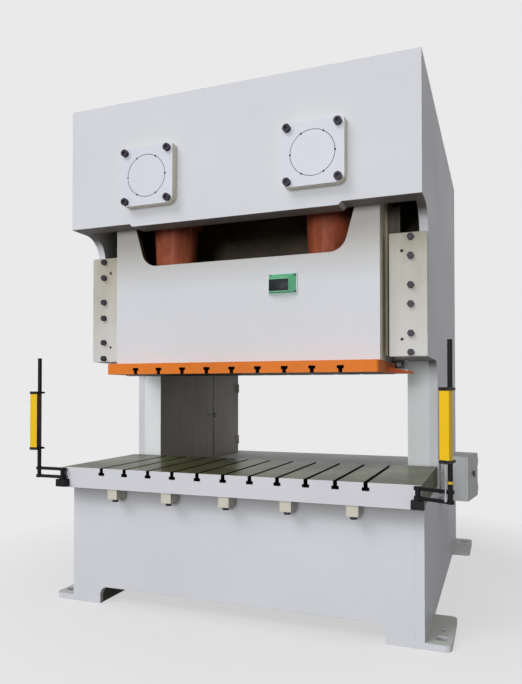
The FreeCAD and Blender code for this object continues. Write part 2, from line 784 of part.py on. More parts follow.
def rear_guard():
    """Sheet over the back of the crown, with rows of cooling slots."""
    outline = [
        (-inner_x, floor_top_z),
        (inner_x, floor_top_z),
        (inner_x, top_under_z),
        (-inner_x, top_under_z),
    ]
    slots = []
    for column in (-1, 0, 1):
        for row in range(6):
            low_x, low_z = 800 * column - 250, floor_top_z + 150 + 60 * row
            slots.append([(low_x, low_z), (low_x + 500, low_z), (low_x + 500, low_z + 20),
                          (low_x, low_z + 20)])
    return prism("guard", "XZ", outline, S.back_y - 6, S.back_y, windows=slots)


# ---------------------------------------------------------------- bolster and guides

def add_slots(body, first_y, face_z, way, neck_deep, head_high, count):
    """Mills a row of T-slots into a plate; way is 1 where they open upward."""
    x = -S.slot_pitch * (count - 1) / 2
    neck_z = face_z - way * neck_deep
    floor_z = neck_z - way * head_high
    neck, head = S.slot_neck / 2, S.slot_head / 2
    sketch = new_sketch(body, "XZ")
    add_outline(sketch, [
        (x - neck, face_z),
        (x - neck, neck_z),
        (x - head, neck_z),
        (x - head, floor_z),
        (x + head, floor_z),
        (x + head, neck_z),
        (x + neck, neck_z),
        (x + neck, face_z),
    ])
    bind(sketch, ".AttachmentOffset.Base.z", -first_y)
    slot = body.newObject("PartDesign::Pocket", body.Name + "_slot")
    slot.Profile = sketch
    slot.Type = "ThroughAll"
    row = body.newObject("PartDesign::LinearPattern", body.Name + "_slots")
    row.Originals = [slot]
    row.Direction = (sketch, ["H_Axis"])
    bind(row, "Length", S.slot_pitch * (count - 1))
    row.Occurrences = count
    body.Tip = row
    return body


def bolster():
    """Bolster plate with its T-slots and the tapped holes for the bolts from below."""
    outline = [
        (-S.frame_half, bolster_front_y),
        (S.frame_half, bolster_front_y),
        (S.frame_half, bolster_back_y),
        (-S.frame_half, bolster_back_y),
    ]
    plate = prism("bolster_plate", "XY", outline, S.bed_top_z, bolster_top_z)
    add_slots(plate, bolster_front_y, bolster_top_z, 1, S.bolster_neck, S.bolster_head, 11)
    holes = [rod(f"bolster_hole_{index}", "z", spot, S.bed_top_z - 1, S.bed_top_z + 55, bolt_hole)
             for index, spot in enumerate(lug_places())]
    return cut("bolster_bored", plate, holes)


def gib_bolt_heights():
    """Three pairs of bolts down a gib plate."""
    heights = []
    for pair in range(3):
        top_z = S.gib_bolt_top_z - S.gib_bolt_step * pair
        heights += [top_z, top_z - S.gib_bolt_pair]
    return heights


def gib_plate():
    """Right-hand gib plate: closes the guide from the front."""
    outline = [
        (S.gib_inner_x, S.gib_low_z),
        (S.frame_half, S.gib_low_z),
        (S.frame_half, S.gib_high_z),
        (S.gib_inner_x, S.gib_high_z),
    ]
    holes = [(S.gib_bolt_x, z, bolt_hole) for z in gib_bolt_heights()]
    holes += [(S.gib_pin_x, z, S.pin_hole) for z in (S.gib_high_z - 125, S.gib_low_z + 118)]
    return prism("gib", "XZ", outline, S.gib_front_y, S.jaw_front_y, circles=holes)


def guide_post():
    """Right-hand guide post: the L-shaped seat of the liners, with the tapped holes of the gib bolts."""
    outline = [
        (inner_x, S.jaw_front_y),
        (S.liner_seat_x, S.jaw_front_y),
        (S.liner_seat_x, S.rear_seat_y),
        (S.post_inner_x, S.rear_seat_y),
        (S.post_inner_x, S.rear_seat_y + 160),
        (inner_x, S.rear_seat_y + 160),
    ]
    post = prism("guide_column", "XY", outline, S.jaw_under_z, S.gib_high_z)
    holes = [rod(f"guide_hole_{index}", "y", (S.gib_bolt_x, z), S.jaw_front_y - 1, S.jaw_front_y + 72,
                 bolt_hole)
             for index, z in enumerate(gib_bolt_heights())]
    return cut("guide_post", post, holes)


def guide_liners():
    """Right-hand bronze liners: before, beside and behind the ram's rail."""
    height = (S.gib_low_z, S.gib_high_z - 5)
    face = (S.post_inner_x, S.rail_out_x)
    return [
        block("liner_front", face, (S.jaw_front_y, S.rail_front_y - S.slide_gap), height),
        block("liner_rear", face, (S.rail_back_y + S.slide_gap, S.rear_seat_y), height),
        block("liner_side", (S.rail_out_x + S.slide_gap, S.liner_seat_x),
              (S.rail_front_y, S.rail_back_y), height),
    ]


# ---------------------------------------------------------------- crank train

PRESSURE_ANGLE = math.radians(20)
TOOTH_ADDENDUM = 0.75  # in modules: stub teeth, as on heavy press gears
TOOTH_SHARE = 0.23  # half a tooth's share of the pitch: a quarter, less the backlash

def tube(name, axis, centre, low, high, bore, outside):
    """A plain bush."""
    wall = rod(name + "_outside", axis, centre, low, high, outside)
    hole = rod(name + "_inside", axis, centre, as_size(low) - 1, as_size(high) + 1, bore)
    return cut(name, wall, [hole])


def crank_bushes():
    """The three bronze bushes of each crankshaft."""
    spans = [
        (S.crown_front_y, front_boss_back_y, S.journal),
        (rear_boss_front_y, inner_wall_back_y, S.journal),
        (S.rear_wall_y, rear_wall_back_y, S.tail_radius),
    ]
    bushes = []
    for side, way in SIDES:
        for index, (low_y, high_y, radius) in enumerate(spans):
            bushes.append(tube(f"bush_{side}_{index}", "y", (way * S.crank_x, S.crank_z), low_y, high_y,
                               radius + S.fit, radius + S.bush_wall))
    return bushes


def crankshaft(side, way):
    """Forged crankshaft at the top of its stroke: two webs with the crankpin between them."""
    x = way * S.crank_x
    middle = (x, S.crank_z)
    low_z, high_z = S.crank_z - S.web_tail, tdc_pin_z + S.web_nose
    outline = [
        (x - S.web_half, low_z),
        (x + S.web_half, low_z),
        (x + S.web_half, high_z),
        (x - S.web_half, high_z),
    ]
    rounded = [(u, v, S.web_corner) for u, v in outline]
    front_pin_y, rear_pin_y = S.die_centre_y - S.pin_half, S.die_centre_y + S.pin_half
    return fuse("crankshaft_solid_" + side, [
        rod("crank_front_" + side, "y", middle, S.crown_front_y + 5, front_web_y, S.journal),
        prism("crank_web_front_" + side, "XZ", outline, front_web_y, front_pin_y, rounded=rounded),
        rod("crank_pin_" + side, "y", (x, tdc_pin_z), front_pin_y, rear_pin_y, S.pin_radius),
        prism("crank_web_rear_" + side, "XZ", outline, rear_pin_y, rear_web_y, rounded=rounded),
        rod("crank_journal_" + side, "y", middle, rear_web_y, inner_wall_back_y, S.journal),
        rod("crank_seat_" + side, "y", middle, inner_wall_back_y, gear_back_y + 20, S.gear_seat),
        rod("crank_tail_" + side, "y", middle, gear_back_y + 20, shaft_end_y, S.tail_radius),
    ])


def involute(angle):
    """The involute function of an angle."""
    return math.tan(angle) - angle


def tooth_outline(teeth):
    """One tooth in modules: involute flanks above the base circle, straight ones down to the root."""
    pitch = teeth / 2
    base = pitch * math.cos(PRESSURE_ANGLE)
    root, tip = pitch - 1, pitch + TOOTH_ADDENDUM
    start = max(root, base)
    steps = 3 if base > root else 2
    flank = []
    for radius in [root - 0.4] + [start + (tip - start) * step / steps for step in range(steps + 1)]:
        lean = math.acos(min(1, base / radius))
        half = 2 * math.pi * TOOTH_SHARE / teeth + involute(PRESSURE_ANGLE) - involute(lean)
        flank.append((radius * math.cos(half), radius * math.sin(half)))
    return [(x, -y) for x, y in flank] + flank[::-1]


def gear(name, centre, teeth, first_tooth):
    """A spur gear blank with one tooth patterned round it; first_tooth is the tooth's angle."""
    root = S.module * (teeth / 2 - 1)
    body = doc.addObject("PartDesign::Body", name)
    rim = new_sketch(body, "XZ")
    add_circle(rim, 0, 0, root)
    blank = body.newObject("PartDesign::Pad", name + "_blank")
    blank.Profile = rim
    tooth_sketch = new_sketch(body, "XZ")
    add_outline(tooth_sketch, [(S.module * x, S.module * y) for x, y in tooth_outline(teeth)])
    tooth = body.newObject("PartDesign::Pad", name + "_tooth")
    tooth.Profile = tooth_sketch
    for sketch, pad in ((rim, blank), (tooth_sketch, tooth)):
        bind(sketch, ".AttachmentOffset.Base.z", -gear_back_y)
        bind(pad, "Length", S.gear_width)
    row = body.newObject("PartDesign::PolarPattern", name + "_teeth")
    row.Originals = [tooth]
    row.Axis = (rim, ["N_Axis"])
    row.Angle = 360
    row.Occurrences = teeth
    body.Tip = row
    body.Placement = Placement(Vector(0, 0, 0), Rotation(Vector(0, -1, 0), first_tooth))
    bind(body, "Placement.Base.x", centre[0])
    bind(body, "Placement.Base.z", centre[1])
    return body


def crank_gear(side, way, first_tooth):
    """Crank gear: a rim, a thinner web with lightening holes, and a hub bored for the crankshaft."""
    centre = (way * S.crank_x, S.crank_z)
    teeth = gear("crank_gear_teeth_" + side, centre, SIZES["gear_teeth"][0], first_tooth)
    recesses = []
    for end, (low_y, high_y) in enumerate((
            (S.gear_front_y - 1, S.gear_front_y + S.gear_recess),
            (gear_back_y - S.gear_recess, gear_back_y + 1))):
        recesses.append(tube(f"gear_recess_{side}_{end}", "y", centre, low_y, high_y, S.hub_radius,
                             S.rim_inside))
    hole_circle = (S.hub_radius + S.rim_inside) / 2
    for step in range(6):
        angle = math.radians(30 + 60 * step)
        spot = (centre[0] + hole_circle * math.cos(angle), centre[1] + hole_circle * math.sin(angle))
        recesses.append(rod(f"gear_hole_{side}_{step}", "y", spot, S.gear_front_y, gear_back_y, 50))
    recesses.append(rod("gear_bore_" + side, "y", centre, S.gear_front_y - 1, gear_back_y + 1,
                        S.gear_seat))
    return cut("crank_gear_cut_" + side, teeth, recesses)


def pinion_shaft(name, way, first_tooth, end_y):
    """Pinion cut in one with its shaft."""
    centre = (way * S.pinion_x, S.crank_z)
    teeth = gear(name + "_teeth", centre, SIZES["pinion_teeth"][0], first_tooth)
    return fuse(name + "_solid", [teeth, rod(name + "_bar", "y", centre, S.inner_wall_y + 10, end_y,
                                             S.drive_radius)])


def connecting_rod(side, way):
    """Connecting rod: threaded sleeve, cone and the lower half of the big end."""
    x = way * S.crank_x
    middle = (x, S.die_centre_y)
    sleeve_top_z = S.sleeve_low_z + 170
    cone_top_z = S.crank_z - 200
    faces = (S.die_centre_y - S.rod_half, S.die_centre_y + S.rod_half)
    outline = [
        (x - S.sleeve_radius, cone_top_z - 100),
        (x + S.sleeve_radius, cone_top_z - 100),
        (x + S.shoulder_half, tdc_pin_z - 100),
        (x + S.shoulder_half, tdc_pin_z),
        (x - S.shoulder_half, tdc_pin_z),
        (x - S.shoulder_half, tdc_pin_z - 100),
    ]
    solid = fuse("rod_solid_" + side, [
        rod("rod_sleeve_" + side, "z", middle, S.sleeve_low_z, sleeve_top_z, S.sleeve_radius),
        cone("rod_cone_" + side, "z", middle, sleeve_top_z, cone_top_z, S.sleeve_radius, S.cone_radius),
        prism("rod_head_" + side, "XZ", outline, *faces),
    ])
    return cut("rod_bored_" + side, solid, [
        rod("rod_eye_" + side, "y", (x, tdc_pin_z), faces[0] - 70, faces[1] + 70, S.pin_radius + S.fit),
        rod("rod_thread_" + side, "z", middle, S.sleeve_low_z - 1, S.screw_high_z + 10,
            S.screw_radius + S.fit),
    ])


def rod_cap(side, way):
    """Upper half of the big end, with its four bolt heads."""
    x = way * S.crank_x
    faces = (S.die_centre_y - S.rod_half, S.die_centre_y + S.rod_half)
    shoulder_z = tdc_pin_z + 80
    pieces = [
        rod("cap_ring_" + side, "y", (x, tdc_pin_z), *faces, S.eye_radius),
        block("cap_shoulder_" + side, (x - S.shoulder_half, x + S.shoulder_half), faces,
              (tdc_pin_z, shoulder_z)),
    ]
    for corner, (turn_x, turn_y) in enumerate(((-1, -1), (1, -1), (1, 1), (-1, 1))):
        spot = (x + turn_x * 258, S.die_centre_y + turn_y * 60)
        pieces.append(rod(f"cap_nut_{side}_{corner}", "z", spot, shoulder_z, shoulder_z + 30, 28))
    lower_half = block("cap_lower_" + side, (x - 400, x + 400), (faces[0] - 1, faces[1] + 1),
                       (tdc_pin_z - 400, tdc_pin_z))
    bore = rod("cap_bore_" + side, "y", (x, tdc_pin_z), faces[0] - 1, faces[1] + 1, S.pin_radius + S.fit)
    return cut("cap_" + side, fuse("cap_solid_" + side, pieces), [lower_half, bore])


def adjusting_screw(side, way):
    """Adjusting screw with the ball that presses on the ram."""
    middle = (way * S.crank_x, S.die_centre_y)
    ball = doc.addObject("Part::Sphere", "ball_" + side)
    place(ball, "z", middle)
    bind(ball, "Radius", S.ball_radius)
    bind(ball, "Placement.Base.z", S.ball_z)
    return fuse("screw_" + side, [
        ball,
        rod("screw_neck_" + side, "z", middle, S.ball_z + 80, S.screw_low_z, S.neck_radius),
        rod("screw_thread_" + side, "z", middle, S.screw_low_z, S.screw_high_z, S.screw_radius),
    ])


# ---------------------------------------------------------------- ram

def ram_wall(name, low_y, high_y):
    """Front or rear wall of the ram, with the window that the rods swing in."""
    outline = [
        (-S.ram_half, S.ram_low_z),
        (S.ram_half, S.ram_low_z),
        (S.ram_half, S.ram_high_z),
        (S.window_top_half, S.ram_high_z),
        (S.window_low_half, S.window_low_z),
        (-S.window_low_half, S.window_low_z),
        (-S.window_top_half, S.ram_high_z),
        (-S.ram_half, S.ram_high_z),
    ]
    rounded = [
        (S.window_low_half, S.window_low_z, S.window_radius),
        (-S.window_low_half, S.window_low_z, S.window_radius),
    ]
    return prism(name, "XZ", outline, low_y, high_y, rounded=rounded)


def ram_body():
    """Welded ram: four walls round the rods, a thick floor, the guide rails and the lifting pads."""
    depth = (S.ram_front_y, ram_back_y)
    pieces = [
        ram_wall("ram_front_wall", S.ram_front_y, S.ram_front_y + S.ram_wall),
        ram_wall("ram_rear_wall", ram_back_y - S.ram_wall, ram_back_y),
        block("ram_floor_plate", (-S.ram_half, S.ram_half), depth,
              (S.ram_low_z, S.ram_low_z + S.ram_floor)),
    ]
    for side, way in SIDES:
        pieces.append(block("ram_side_" + side,
                            ordered(way * S.ram_half, way * (S.ram_half - S.ram_wall)), depth,
                            (S.ram_low_z, S.ram_high_z)))
        pieces.append(block("ram_rail_" + side, ordered(way * S.ram_half, way * S.rail_out_x),
                            (S.rail_front_y, S.rail_back_y), (S.ram_low_z + 38, S.ram_high_z - 40)))
        pieces.append(block("ram_pad_" + side, ordered(way * (S.ram_half - S.ram_wall),
                                                       way * (S.ram_half + 50)),
                            (S.rail_front_y, S.rail_back_y), (S.ram_high_z - 40, S.ram_high_z)))
    return fuse("ram", pieces)


def ram_plate():
    """Face plate under the ram, its T-slots open downward, with a tapered wing on each side."""
    front_y, back_y = S.die_centre_y - S.face_depth / 2, S.die_centre_y + S.face_depth / 2
    outline = [
        (-S.face_half, front_y),
        (S.face_half, front_y),
        (S.face_half, back_y),
        (-S.face_half, back_y),
    ]
    rounded = [(u, v, S.face_corner) for u, v in outline]
    plate = prism("face_plate", "XY", outline, face_low_z, face_top_z, rounded=rounded)
    slotted = add_slots(plate, front_y, face_low_z, -1, S.ram_neck, S.ram_head, 9)
    right_wing = face_wing()
    return fuse("face_plate_winged", [slotted, right_wing, mirrored("left_wing", right_wing)])


def face_wing():
    """Right-hand wing: thick at the face plate, thin at the tip, with its front edge running back."""
    profile = [
        (S.face_half - 10, face_low_z),
        (S.wing_reach, face_low_z),
        (S.wing_reach, face_low_z + S.wing_tip),
        (S.face_half - 10, face_low_z + S.wing_root),
    ]
    front_y, back_y = S.die_centre_y, S.die_centre_y + 230
    wing = prism("wing_plate", "XZ", profile, front_y, back_y)
    corner = [
        (S.face_half, front_y - 1),
        (S.wing_reach + 1, front_y - 1),
        (S.wing_reach + 1, front_y + 160),
    ]
    return cut("wing", wing, [prism("wing_corner", "XY", corner, face_low_z - 1, face_top_z)])


def ball_seat():
    """Right-hand ball housing on the ram's floor, open above for the neck of the screw."""
    low_z = S.ram_low_z + S.ram_floor
    swing_x = S.crank_x - S.throw
    reach = S.ball_radius + 5
    sink = S.ball_radius + 32
    housing = block("seat_block", (S.seat_inner_x, S.crank_x + S.ball_radius + 55),
                    (S.die_centre_y - 185, S.die_centre_y + 185), (low_z, S.ball_z + sink + 40))
    hollow = [
        (swing_x - reach, S.ball_z - sink),
        (S.crank_x + reach, S.ball_z - sink),
        (S.crank_x + reach, S.ball_z + sink),
        (swing_x - reach, S.ball_z + sink),
    ]
    slot_height = (S.ball_z + sink - 1, S.ball_z + sink + 41)
    slot_radius = S.neck_radius + 5
    return cut("seat", housing, [
        prism("seat_hollow", "XZ", hollow, S.die_centre_y - reach, S.die_centre_y + reach),
        rod("seat_slot_out", "z", (S.crank_x, S.die_centre_y), *slot_height, slot_radius),
        rod("seat_slot_in", "z", (swing_x, S.die_centre_y), *slot_height, slot_radius),
        block("seat_slot", (swing_x, S.crank_x),
              (S.die_centre_y - slot_radius, S.die_centre_y + slot_radius),
              slot_height),
    ])


def adjusting_motor():
    """Upright geared motor on the ram's floor, for setting the slide height."""
    low_z = S.ram_low_z + S.ram_floor
    profile = [
        (0, low_z),
        (88, low_z),
        (88, low_z + 30),
        (70, low_z + 30),
        (70, S.adjust_top_z - 220),
        (S.adjust_radius, S.adjust_top_z - 200),
        (S.adjust_radius, S.adjust_top_z - 12),
        (S.adjust_radius - 12, S.adjust_top_z),
        (0, S.adjust_top_z),
    ]
    return turned("adjust_drum", "z", (S.adjust_x, S.adjust_y), profile)


def display_unit():
    """Display on the ram's front: back plate, tapered bezel, recessed window and four screws."""
    back_y = S.ram_front_y
    low_x, high_x = S.display_x - S.display_half, S.display_x + S.display_half
    low_z, high_z = S.display_z - S.display_rise, S.display_z + S.display_rise
    plate = block("display_plate", (low_x - 8, high_x + 8), (back_y - 8, back_y), (low_z - 12, high_z + 8))
    bezel = doc.addObject("Part::Wedge", "display_bezel")
    front_y = back_y - 8 - S.display_deep
    for letter, size in (("x", low_x), ("y", front_y), ("z", low_z)):
        bind(bezel, "Placement.Base." + letter, size)
    limits = {
        "Ymin": 0, "Ymax": S.display_deep,
        "X2min": 0, "X2max": S.display_half * 2, "Z2min": 0, "Z2max": S.display_rise * 2,
        "Xmin": 6, "Xmax": S.display_half * 2 - 46, "Zmin": 6, "Zmax": S.display_rise * 2 - 32,
    }
    for name, size in limits.items():
        bind(bezel, name, size)
    recess = block("display_recess", (low_x + 14, high_x - 54), (front_y - 1, front_y + 3),
                   (low_z + 14, high_z - 40))
    return cut("display", fuse("display_solid", [plate, bezel]), [recess])


# ---------------------------------------------------------------- drive

flywheel_centre = (-S.pinion_x, S.crank_z)
wheel_back_y = S.wheel_front_y + S.wheel_width
motor_centre = (S.motor_x, S.motor_z)


def belt_middles():
    """Middle planes of the belts."""
    first = S.wheel_front_y + (S.wheel_width - S.belt_pitch * (SIZES["belt_count"][0] - 1)) / 2
    return [first + S.belt_pitch * index for index in range(SIZES["belt_count"][0])]


def belt_grooves(name, centre, radius):
    """Rings that cut the belt grooves into a rim."""
    half = S.belt_wide / 2 + 0.5
    return [tube(f"{name}_groove_{index}", "y", centre, y - half, y + half, radius - S.belt_deep,
                 radius + 5)
            for index, y in enumerate(belt_middles())]


def flywheel():
    """Flywheel: grooved rim, web and hub, with a bore that runs on the drive shaft."""
    rim_radius, hub_radius = S.wheel_radius - 110, 150
    front_y, back_y = S.wheel_front_y, wheel_back_y
    profile = [
        (S.drive_radius + S.fit, front_y),
        (hub_radius, front_y),
        (hub_radius, front_y + 70),
        (rim_radius, front_y + 70),
        (rim_radius, front_y),
        (S.wheel_radius, front_y),
        (S.wheel_radius, back_y),
        (rim_radius, back_y),
        (rim_radius, back_y - 70),
        (hub_radius, back_y - 70),
        (hub_radius, back_y),
        (S.drive_radius + S.fit, back_y),
    ]
    wheel = turned("flywheel_disc", "y", flywheel_centre, profile)
    return cut("flywheel_grooved", wheel, belt_grooves("flywheel", flywheel_centre, S.wheel_radius))


def clutch():
    """Clutch and brake unit on the drive shaft, beside the flywheel."""
    front_y, back_y = rear_wall_back_y + 40, S.wheel_front_y - 20
    profile = [
        (S.drive_radius + S.fit, front_y),
        (260, front_y),
        (260, front_y + 50),
        (190, front_y + 50),
        (190, back_y - 60),
        (240, back_y - 60),
        (240, back_y),
        (S.drive_radius + S.fit, back_y),
    ]
    return turned("clutch_disc", "y", flywheel_centre, profile)


def motor_pulley():
    """Belt pulley with its shaft, which turns in the motor."""
    wheel = rod("pulley_disc", "y", motor_centre, S.wheel_front_y, wheel_back_y, S.pulley_radius)
    shaft = rod("pulley_shaft", "y", motor_centre, S.wheel_front_y, S.motor_front_y + 90, 30)
    return cut("pulley_grooved", fuse("pulley", [wheel, shaft]),
               belt_grooves("pulley", motor_centre, S.pulley_radius))


def motor():
    """Foot-mounted motor with end bells and a terminal box."""
    x, z, front_y = S.motor_x, S.motor_z, S.motor_front_y
    frame = rod("motor_frame", "y", motor_centre, front_y + 60, front_y + 640, S.motor_radius)
    bells = rod("motor_bells", "y", motor_centre, front_y, front_y + 750, S.motor_radius - 30)
    feet = block("motor_feet", (x - 170, x + 170), (front_y + 150, front_y + 600),
                 (z - motor_foot_drop, z - 120))
    terminals = block("motor_terminals", (x - 80, x + 80), (front_y + 200, front_y + 380),
                      (z + 150, z + S.motor_radius + 70))
    hole = rod("motor_bore", "y", motor_centre, front_y - 1, front_y + 100, 30 + S.fit)
    return cut("motor_solid", fuse("motor_mass", [frame, bells, feet, terminals]), [hole])


def belt_loop(name, middle_y, depth, half):
    """The loop round flywheel and pulley, sunk by depth below their rims."""
    big, small = S.wheel_radius - depth, S.pulley_radius - depth
    dx = motor_centre[0].number - flywheel_centre[0].number
    dz = motor_centre[1].number - flywheel_centre[1].number
    along = math.atan2(dz, dx)
    lean = math.acos((big.number - small.number) / math.hypot(dx, dz))
    span = (middle_y - half, middle_y + half)
    corners = []
    for centre, radius, turns in ((flywheel_centre, big, (-1, 1)), (motor_centre, small, (1, -1))):
        for turn in turns:
            angle = along + turn * lean
            corners.append((centre[0] + radius * math.cos(angle), centre[1] + radius * math.sin(angle)))
    return fuse(name, [
        rod(name + "_big", "y", flywheel_centre, *span, big),
        rod(name + "_small", "y", motor_centre, *span, small),
        prism(name + "_run", "XZ", corners, *span),
    ])


def drive_belts():
    """The belts as closed loops."""
    half = S.belt_wide / 2
    belts = []
    for index, y in enumerate(belt_middles()):
        outside = belt_loop(f"belt_outside_{index}", y, 0, half)
        inside = belt_loop(f"belt_inside_{index}", y, S.belt_deep - 0.4, half + 1)
        belts.append(cut(f"belt_{index}", outside, [inside]))
    return belts


# ---------------------------------------------------------------- counterbalance

def balance_cylinder():
    """Right-hand counterbalance cylinder, bracketed to the side plate."""
    centre = (S.cylinder_x, S.die_centre_y)
    low_z, high_z = S.ram_high_z + 100, S.ram_high_z + 700
    barrel = rod("cylinder_barrel", "z", centre, low_z, high_z, S.cylinder_radius)
    bracket = block("cylinder_bracket", (S.cylinder_x + 80, inner_x),
                    (S.die_centre_y - 50, S.die_centre_y + 50),
                    (low_z + 280, low_z + 380))
    bore = rod("cylinder_bore", "z", centre, low_z + 30, high_z - 30, S.piston_radius + S.fit)
    gland = rod("cylinder_gland", "z", centre, low_z - 1, low_z + 31, S.piston_rod + S.fit)
    return cut("cylinder", fuse("cylinder_solid", [barrel, bracket]), [bore, gland])


def balance_rod():
    """Right-hand counterbalance piston with the rod that stands on the ram."""
    centre = (S.cylinder_x, S.die_centre_y)
    piston_z = S.ram_high_z + 590
    return fuse("balance_solid", [
        rod("balance_bar", "z", centre, S.ram_high_z, piston_z, S.piston_rod),
        rod("balance_piston", "z", centre, piston_z, piston_z + 60, S.piston_radius),
    ])


# ---------------------------------------------------------------- covers and bolts

def crank_cover(side, way):
    """Square crank cover with a scribed bearing cap and its small screw holes."""
    x, z, half = way * S.crank_x, S.cover_z, S.cover_half
    front_y = S.crown_front_y - S.cover_thick
    outline = [(x - half, z - half), (x + half, z - half), (x + half, z + half), (x - half, z + half)]
    rounded = [(u, v, S.cover_corner) for u, v in outline[:2]] + [(u, v, 12) for u, v in outline[2:]]
    holes = [(u, v, bolt_hole) for u, v in cover_bolt_places()[:4]] if way < 0 else \
            [(u, v, bolt_hole) for u, v in cover_bolt_places()[4:]]
    plate = prism("cover_plate_" + side, "XZ", outline, front_y, S.crown_front_y, circles=holes,
                  rounded=rounded)
    tools = [tube("cover_scribe_" + side, "y", (x, z), front_y - 1, front_y + 3, S.disc_radius - 2,
                  S.disc_radius + 2)]
    for step in range(6):
        angle = math.radians(60 * step)
        spot = (x + S.disc_radius * math.cos(angle), z + S.disc_radius * math.sin(angle))
        tools.append(rod(f"cover_pin_{side}_{step}", "y", spot, front_y - 1, front_y + 12, 7))
    return cut("cover_" + side, plate, tools)


def socket_bolt(name, centre, face_y, tip_y):
    """A cap screw along Y with a hexagon socket in its round head."""
    head = rod(name + "_head", "y", centre, face_y - S.cap_high, face_y, S.cap_radius)
    shank = rod(name + "_shank", "y", centre, face_y, tip_y, S.bolt_radius)
    socket = doc.addObject("Part::Prism", name + "_socket")
    socket.Polygon = 6
    place(socket, "y", centre)
    bind(socket, "Circumradius", S.cap_radius / 2)
    bind(socket, "Height", S.cap_high / 2 + 1)
    bind(socket, "Placement.Base.y", face_y - S.cap_high - 1)
    return cut(name, fuse(name + "_solid", [head, shank]), [socket])


def limit_switch():
    """Position switch under the inner wall, with two cable sockets."""
    low_z = S.jaw_under_z - S.switch_high
    case = block("switch_case", (S.switch_x, S.switch_x + S.switch_wide),
                 (S.inner_wall_y + 2, inner_wall_back_y - 2), (low_z, S.jaw_under_z))
    pieces = [case]
    for index in range(2):
        spot = (S.switch_x + S.switch_wide / 3 * (index + 1), S.jaw_under_z - S.switch_high / 2)
        pieces.append(rod(f"switch_socket_{index}", "y", spot, S.inner_wall_y - 12, S.inner_wall_y + 2,
                          13))
    return fuse("switch", pieces)


# ---------------------------------------------------------------- light curtain

def swing(item, pivot, angle):
    """Turns a piece that was drawn at the origin about Z and sets it on its pivot."""
    item.Placement = Placement(Vector(0, 0, 0), Rotation(Vector(0, 0, 1), as_size(angle).number))
    bind(item, "Placement.Base.x", pivot[0])
    bind(item, "Placement.Base.y", pivot[1])
    bind(item, "Placement.Rotation.Angle", angle)
    return item


def curtain_block(side, way):
    """Block on the bolster's front that holds an arm's pivot pin."""
    x = way * S.pivot_x
    case = block("curtain_base_" + side, (x - S.block_half, x + S.block_half),
                 (S.pivot_y - 30, bolster_front_y),
                 (S.bed_top_z + 9, S.bed_top_z + 64))
    hole = rod("curtain_hole_" + side, "z", (x, S.pivot_y), S.bed_top_z + 24, S.bed_top_z + 65,
               S.pivot_radius + S.fit)
    return cut("curtain_block_" + side, case, [hole])


def curtain_arm(side, top_z):
    """Two bars between the pivot post and the sensor's post, drawn straight out along X."""
    half = S.bar_size / 2
    bars = ((S.bar_low_z, S.bar_low_z + S.bar_size), (S.bar_high_z - S.bar_size, S.bar_high_z))
    pieces = [
        rod("arm_pivot_" + side, "z", (0, 0), S.bed_top_z + 25, S.bar_high_z, S.pivot_radius),
        rod("arm_post_" + side, "z", (S.arm_reach, 0), S.post_low_z, top_z, S.post_radius),
    ]
    for index, (low_z, high_z) in enumerate(bars):
        pieces.append(block(f"arm_bar_{side}_{index}", (0, S.arm_reach), (-half, half), (low_z, high_z)))
        pieces.append(rod(f"arm_hub_{side}_{index}", "z", (0, 0), low_z, high_z, S.pivot_radius + 8))
        pieces.append(rod(f"arm_clamp_{side}_{index}", "z", (S.arm_reach, 0), low_z, high_z,
                          S.post_radius + 8))
    return fuse("arm_" + side, pieces)


def curtain_sensor(side, way, low_z):
    """Upright sensor bar in front of its post: case, two end caps and the clamps that slide on the post."""
    x = S.arm_reach
    near_y, far_y = S.post_radius + S.sensor_gap, S.post_radius + S.sensor_gap + S.sensor_depth
    high_z = low_z + S.sensor_length

    def before_post(name, half, near, far, height):
        return block(name + side, (x - half, x + half), ordered(-way * near, -way * far), height)

    pieces = [before_post("sensor_case_", S.sensor_half, near_y, far_y, (low_z + 10, high_z - 10))]
    for index, end_z in enumerate((low_z, high_z - 20)):
        height = (end_z, end_z + 20)
        pieces.append(before_post(f"sensor_cap_{index}_", S.sensor_half + 2, near_y - 2, far_y + 3,
                                  height))
        pieces.append(before_post(f"sensor_clamp_{index}_", 23, -S.post_radius - 9, near_y,
                                  (end_z + 2, end_z + 18)))
        pieces.append(rod(f"sensor_screw_{index}_{side}", "x", (0, end_z + 10), x - 48, x - 20, 5))
    bore = rod("sensor_bore_" + side, "z", (x, 0), low_z - 1, high_z + 1, S.post_radius + S.fit)
    return cut("sensor_" + side, fuse("sensor_solid_" + side, pieces), [bore])


def sensor_lead(low_z):
    """Short lead under the right sensor, ending in a round plug."""
    spot = (S.arm_reach - 4, -S.post_radius - S.sensor_gap - S.sensor_depth / 2)
    end_z = low_z - S.lead_length
    return fuse("lead", [
        rod("lead_gland", "z", spot, low_z - 28, low_z, 9),
        rod("lead_cable", "z", spot, end_z + 40, low_z - 28, S.lead_radius),
        rod("lead_plug", "z", spot, end_z, end_z + 40, 8),
    ])


# ---------------------------------------------------------------- control box

box_pivot = (S.box_pivot_x, S.box_pivot_y)
box_inner_x = -20
box_front_y = 14
box_outer_x = box_inner_x + S.box_wide
box_rear_y = box_front_y + S.box_deep
box_pin_heights = [S.box_low_z + 50, S.box_high_z - 110]
door_pin_heights = [S.box_low_z + 40, S.box_high_z - 90]
door_pin = (box_outer_x + 10, box_rear_y + 12)


def box_bracket():
    """Plate on the side plate with the two pins that the control box swings on."""
    x, y = box_pivot
    plate = block("bracket_plate", (S.frame_half, S.frame_half + 8), (y - 72, y + 8),
                  (S.box_low_z + 20, S.box_high_z - 20))
    pieces = [plate]
    for index, low_z in enumerate(box_pin_heights):
        pieces += hinge_post(f"bracket_pin_{index}", x, y, low_z, (S.frame_half + 8, x + 8),
                             (y - 30, y + 8), 8)
    return fuse("bracket", pieces)


